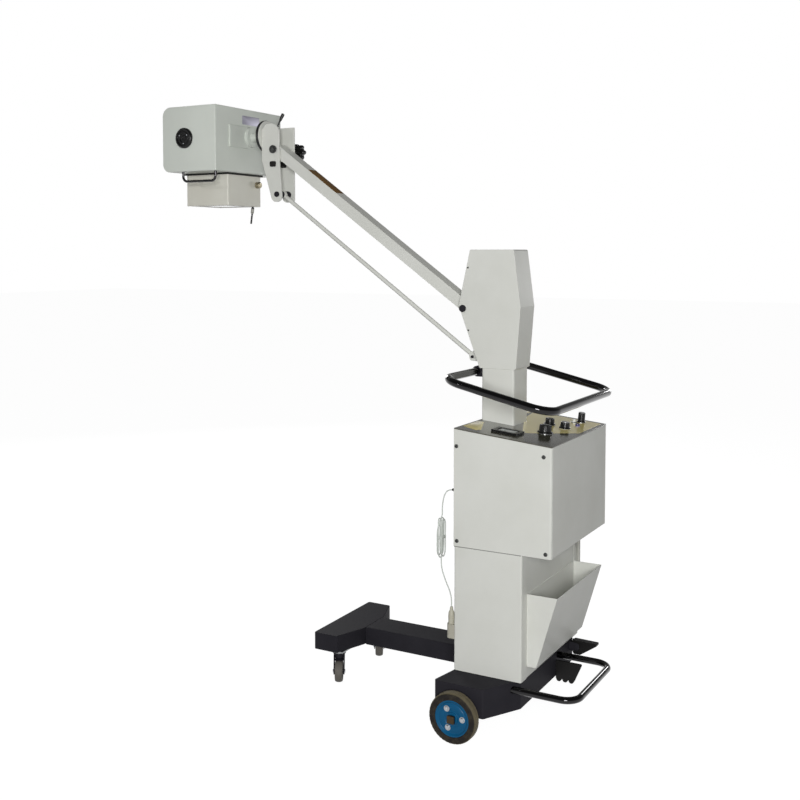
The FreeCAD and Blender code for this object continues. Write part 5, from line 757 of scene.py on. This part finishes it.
# Polycarbonate reads as a clear, faintly cold pane that still mirrors the room at its edges.
clear, tree, out = bare_material("clear_polycarbonate_window")
shader = add(tree, "BsdfPrincipled", {"Base Color": colour("#E8EEEE"), "Roughness": 0.05,
                                      "Transmission Weight": 0.9, "IOR": 1.58})
tree.links.new(shader.outputs[0], out.inputs[0])
pressed("beam_window", clear, 0.4)
knurl_line = rounded([(0, 0.6, 0), (8, 0.6, 0), (12, 3, 1), (12, 19, 1.4), (8.5, 22, 1), (0, 21.2, 0)])
knurl = turned(knurl_line * MM, 192)
ridges = (np.arange(192) % 4 < 2) * 0.035
knurl[..., :2] *= 1 - ridges[None, :, None] * ((knurl_line[:, 1] > 3.6) & (knurl_line[:, 1] < 18))[:, None, None]
made_of("field_knob_knurled", [shell(stood(knurl, from_pivot(164, 72, -122), (1, 0, 0), (0, 1, 0)))],
        bare_metal("worn_brass_knob", "#A39A84", 0.3, 0.12, 0.2, "#7C7460"), "dial", ["field_knob"])
pressed("shutter_lever", phenolic, 0.4)
sleeve_line = rounded([(3.4, -20, 0.3), (6.1, -20, 1), (6.4, -27, 3), (5.6, -38, 1), (3.4, -38, 0.3)],
                      closed=True) * MM
SLEEVE_TILT = math.radians(8)
sleeve = stood(turned(sleeve_line, 40), from_pivot(183, 78, -193), (math.sin(SLEEVE_TILT), 0, math.cos(SLEEVE_TILT)),
               (math.cos(SLEEVE_TILT), 0, -math.sin(SLEEVE_TILT)))
made_of("shutter_lever_sleeve", [shell(sleeve, loop=True)], moulded("pale_grey_sleeve", "#A9A8A0", 0.4),
        "shutter")

# Hand switch: a moulded beige body in a sheet cup on the column's front, with its button below.
# Its neck tapers into the bush that holds the cord.
SWITCH_X, SWITCH_Y = -84, -238
beige = moulded("beige_switch_plastic", "#B9B6A6", 0.38, 0.06)
body_line = rounded([(6, 272, 0.5), (9.5, 272, 1), (11, 276, 2), (11, 300, 2), (10.2, 312, 8), (10.6, 342, 8),
                     (9.4, 352, 3), (6, 358, 2), (4.6, 369, 1), (2.3, 370, 0.3), (2.3, 366, 0), (0, 366, 0)])
well_line = rounded([(4.6, 291, 0), (4.6, 272, 0.3), (6, 272, 0.2)])
switch = turned(np.vstack([[(0, 291)], well_line, body_line[1:]]) * MM, 64)
made_of("hand_switch_moulded", [shell(stood(switch, behind_axle(SWITCH_X, SWITCH_Y, 0), (0, 0, 1)))],
        beige, "root", ["hand_switch"])
pressed("switch_holder", enamel("beige_holder_enamel", "#B5B2A4", "#ABA89A", 0.45, 0.1), 0.5)
pressed("exposure_button", moulded("white_trigger_plastic", "#E4E4DE", 0.25), 0.4)
pressed("cord_grommet", soft_black, 0.5)

# Cord: a thin white lead from the control box to the hand switch, its spare length folded into a
# loose hank and tied. Its facts: 4 mm thick, limp, 1.5 m from end to end.
sheath = moulded("white_cord_sheath", "#CDD2CC", 0.42, 0.04)
drop = [(408.9, 752, 0), (383, 752, 0), (368, 736, 0), (361, 710, 0), (359, 684, 0), (359.5, 664, 0)]
folds = []
for half, low, high, x in ((13.0, 534, 650, 347.4), (14.5, 527, 646, 352.4), (12.8, 540, 654, 357.4),
                           (14.0, 532, 649, 362.4)):
    loop = [(-half, high - 30), (-half, low + 46), (-half - 1, low + 15), (-half * 0.62, low + 2),
            (half * 0.05, low - 2), (half * 0.66, low + 3), (half + 1, low + 16), (half, low + 48),
            (half, high - 44), (half + 0.6, high - 12), (half * 0.6, high), (0, high + 3.5),
            (-half * 0.62, high)]
    folds += [(x + 1.6 * i / 13, z, y) for i, (y, z) in enumerate(loop)]
tail = [(363.5, 640, -9), (362, 600, -5), (358, 560, -2), (356, 530, 0), (355.5, 505, 0), (359, 486, -1),
        (366, 468, -2), (375, 446, -2), (386, 424, -1), (392.4, 400, 0), (393.2, 384, 0), (393.2, 370.3, 0)]
route = np.array([(x, SWITCH_Y + y, z, 1 / MM) for x, z, y in drop + folds + tail]) * MM
line = bpy.data.curves.new("hand_switch_cord", "CURVE")
line.dimensions, line.bevel_depth, line.bevel_resolution, line.resolution_u = "3D", 2.0 * MM, 4, 8
spline = line.splines.new("NURBS")
spline.points.add(len(route) - 1)
spline.points.foreach_set("co", route.ravel())
spline.order_u, spline.use_endpoint_u = 3, True
cord = bpy.data.objects.new("hand_switch_cord", line)
bpy.context.scene.collection.objects.link(cord)
line.materials.append(sheath)
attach(cord, "root")
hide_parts("cord_drop", "cord_hank", "cord_tail")
tie = plate(oblong(33 * MM, 15 * MM, 7 * MM), 588 * MM, 597 * MM, 0.8 * MM, 2)
made_of("hank_tie", [shell(stood(tie, (358 * MM, SWITCH_Y * MM, 0), (0, 0, 1), (0, 1, 0)), caps=True)],
        sheath, "root")

# Inside, seen only if the casings come off: laminated iron, a steel spring cartridge and a cast tube
# unit. They keep the shapes of their CAD solids.
hidden = bare_metal("varnished_iron", "#4A4642", 0.5, 0.1)
for node in ("autotransformer", "balance_spring", "tube_and_transformer"):
    frame["nodes"][node].data.materials.clear()
    frame["nodes"][node].data.materials.append(hidden)
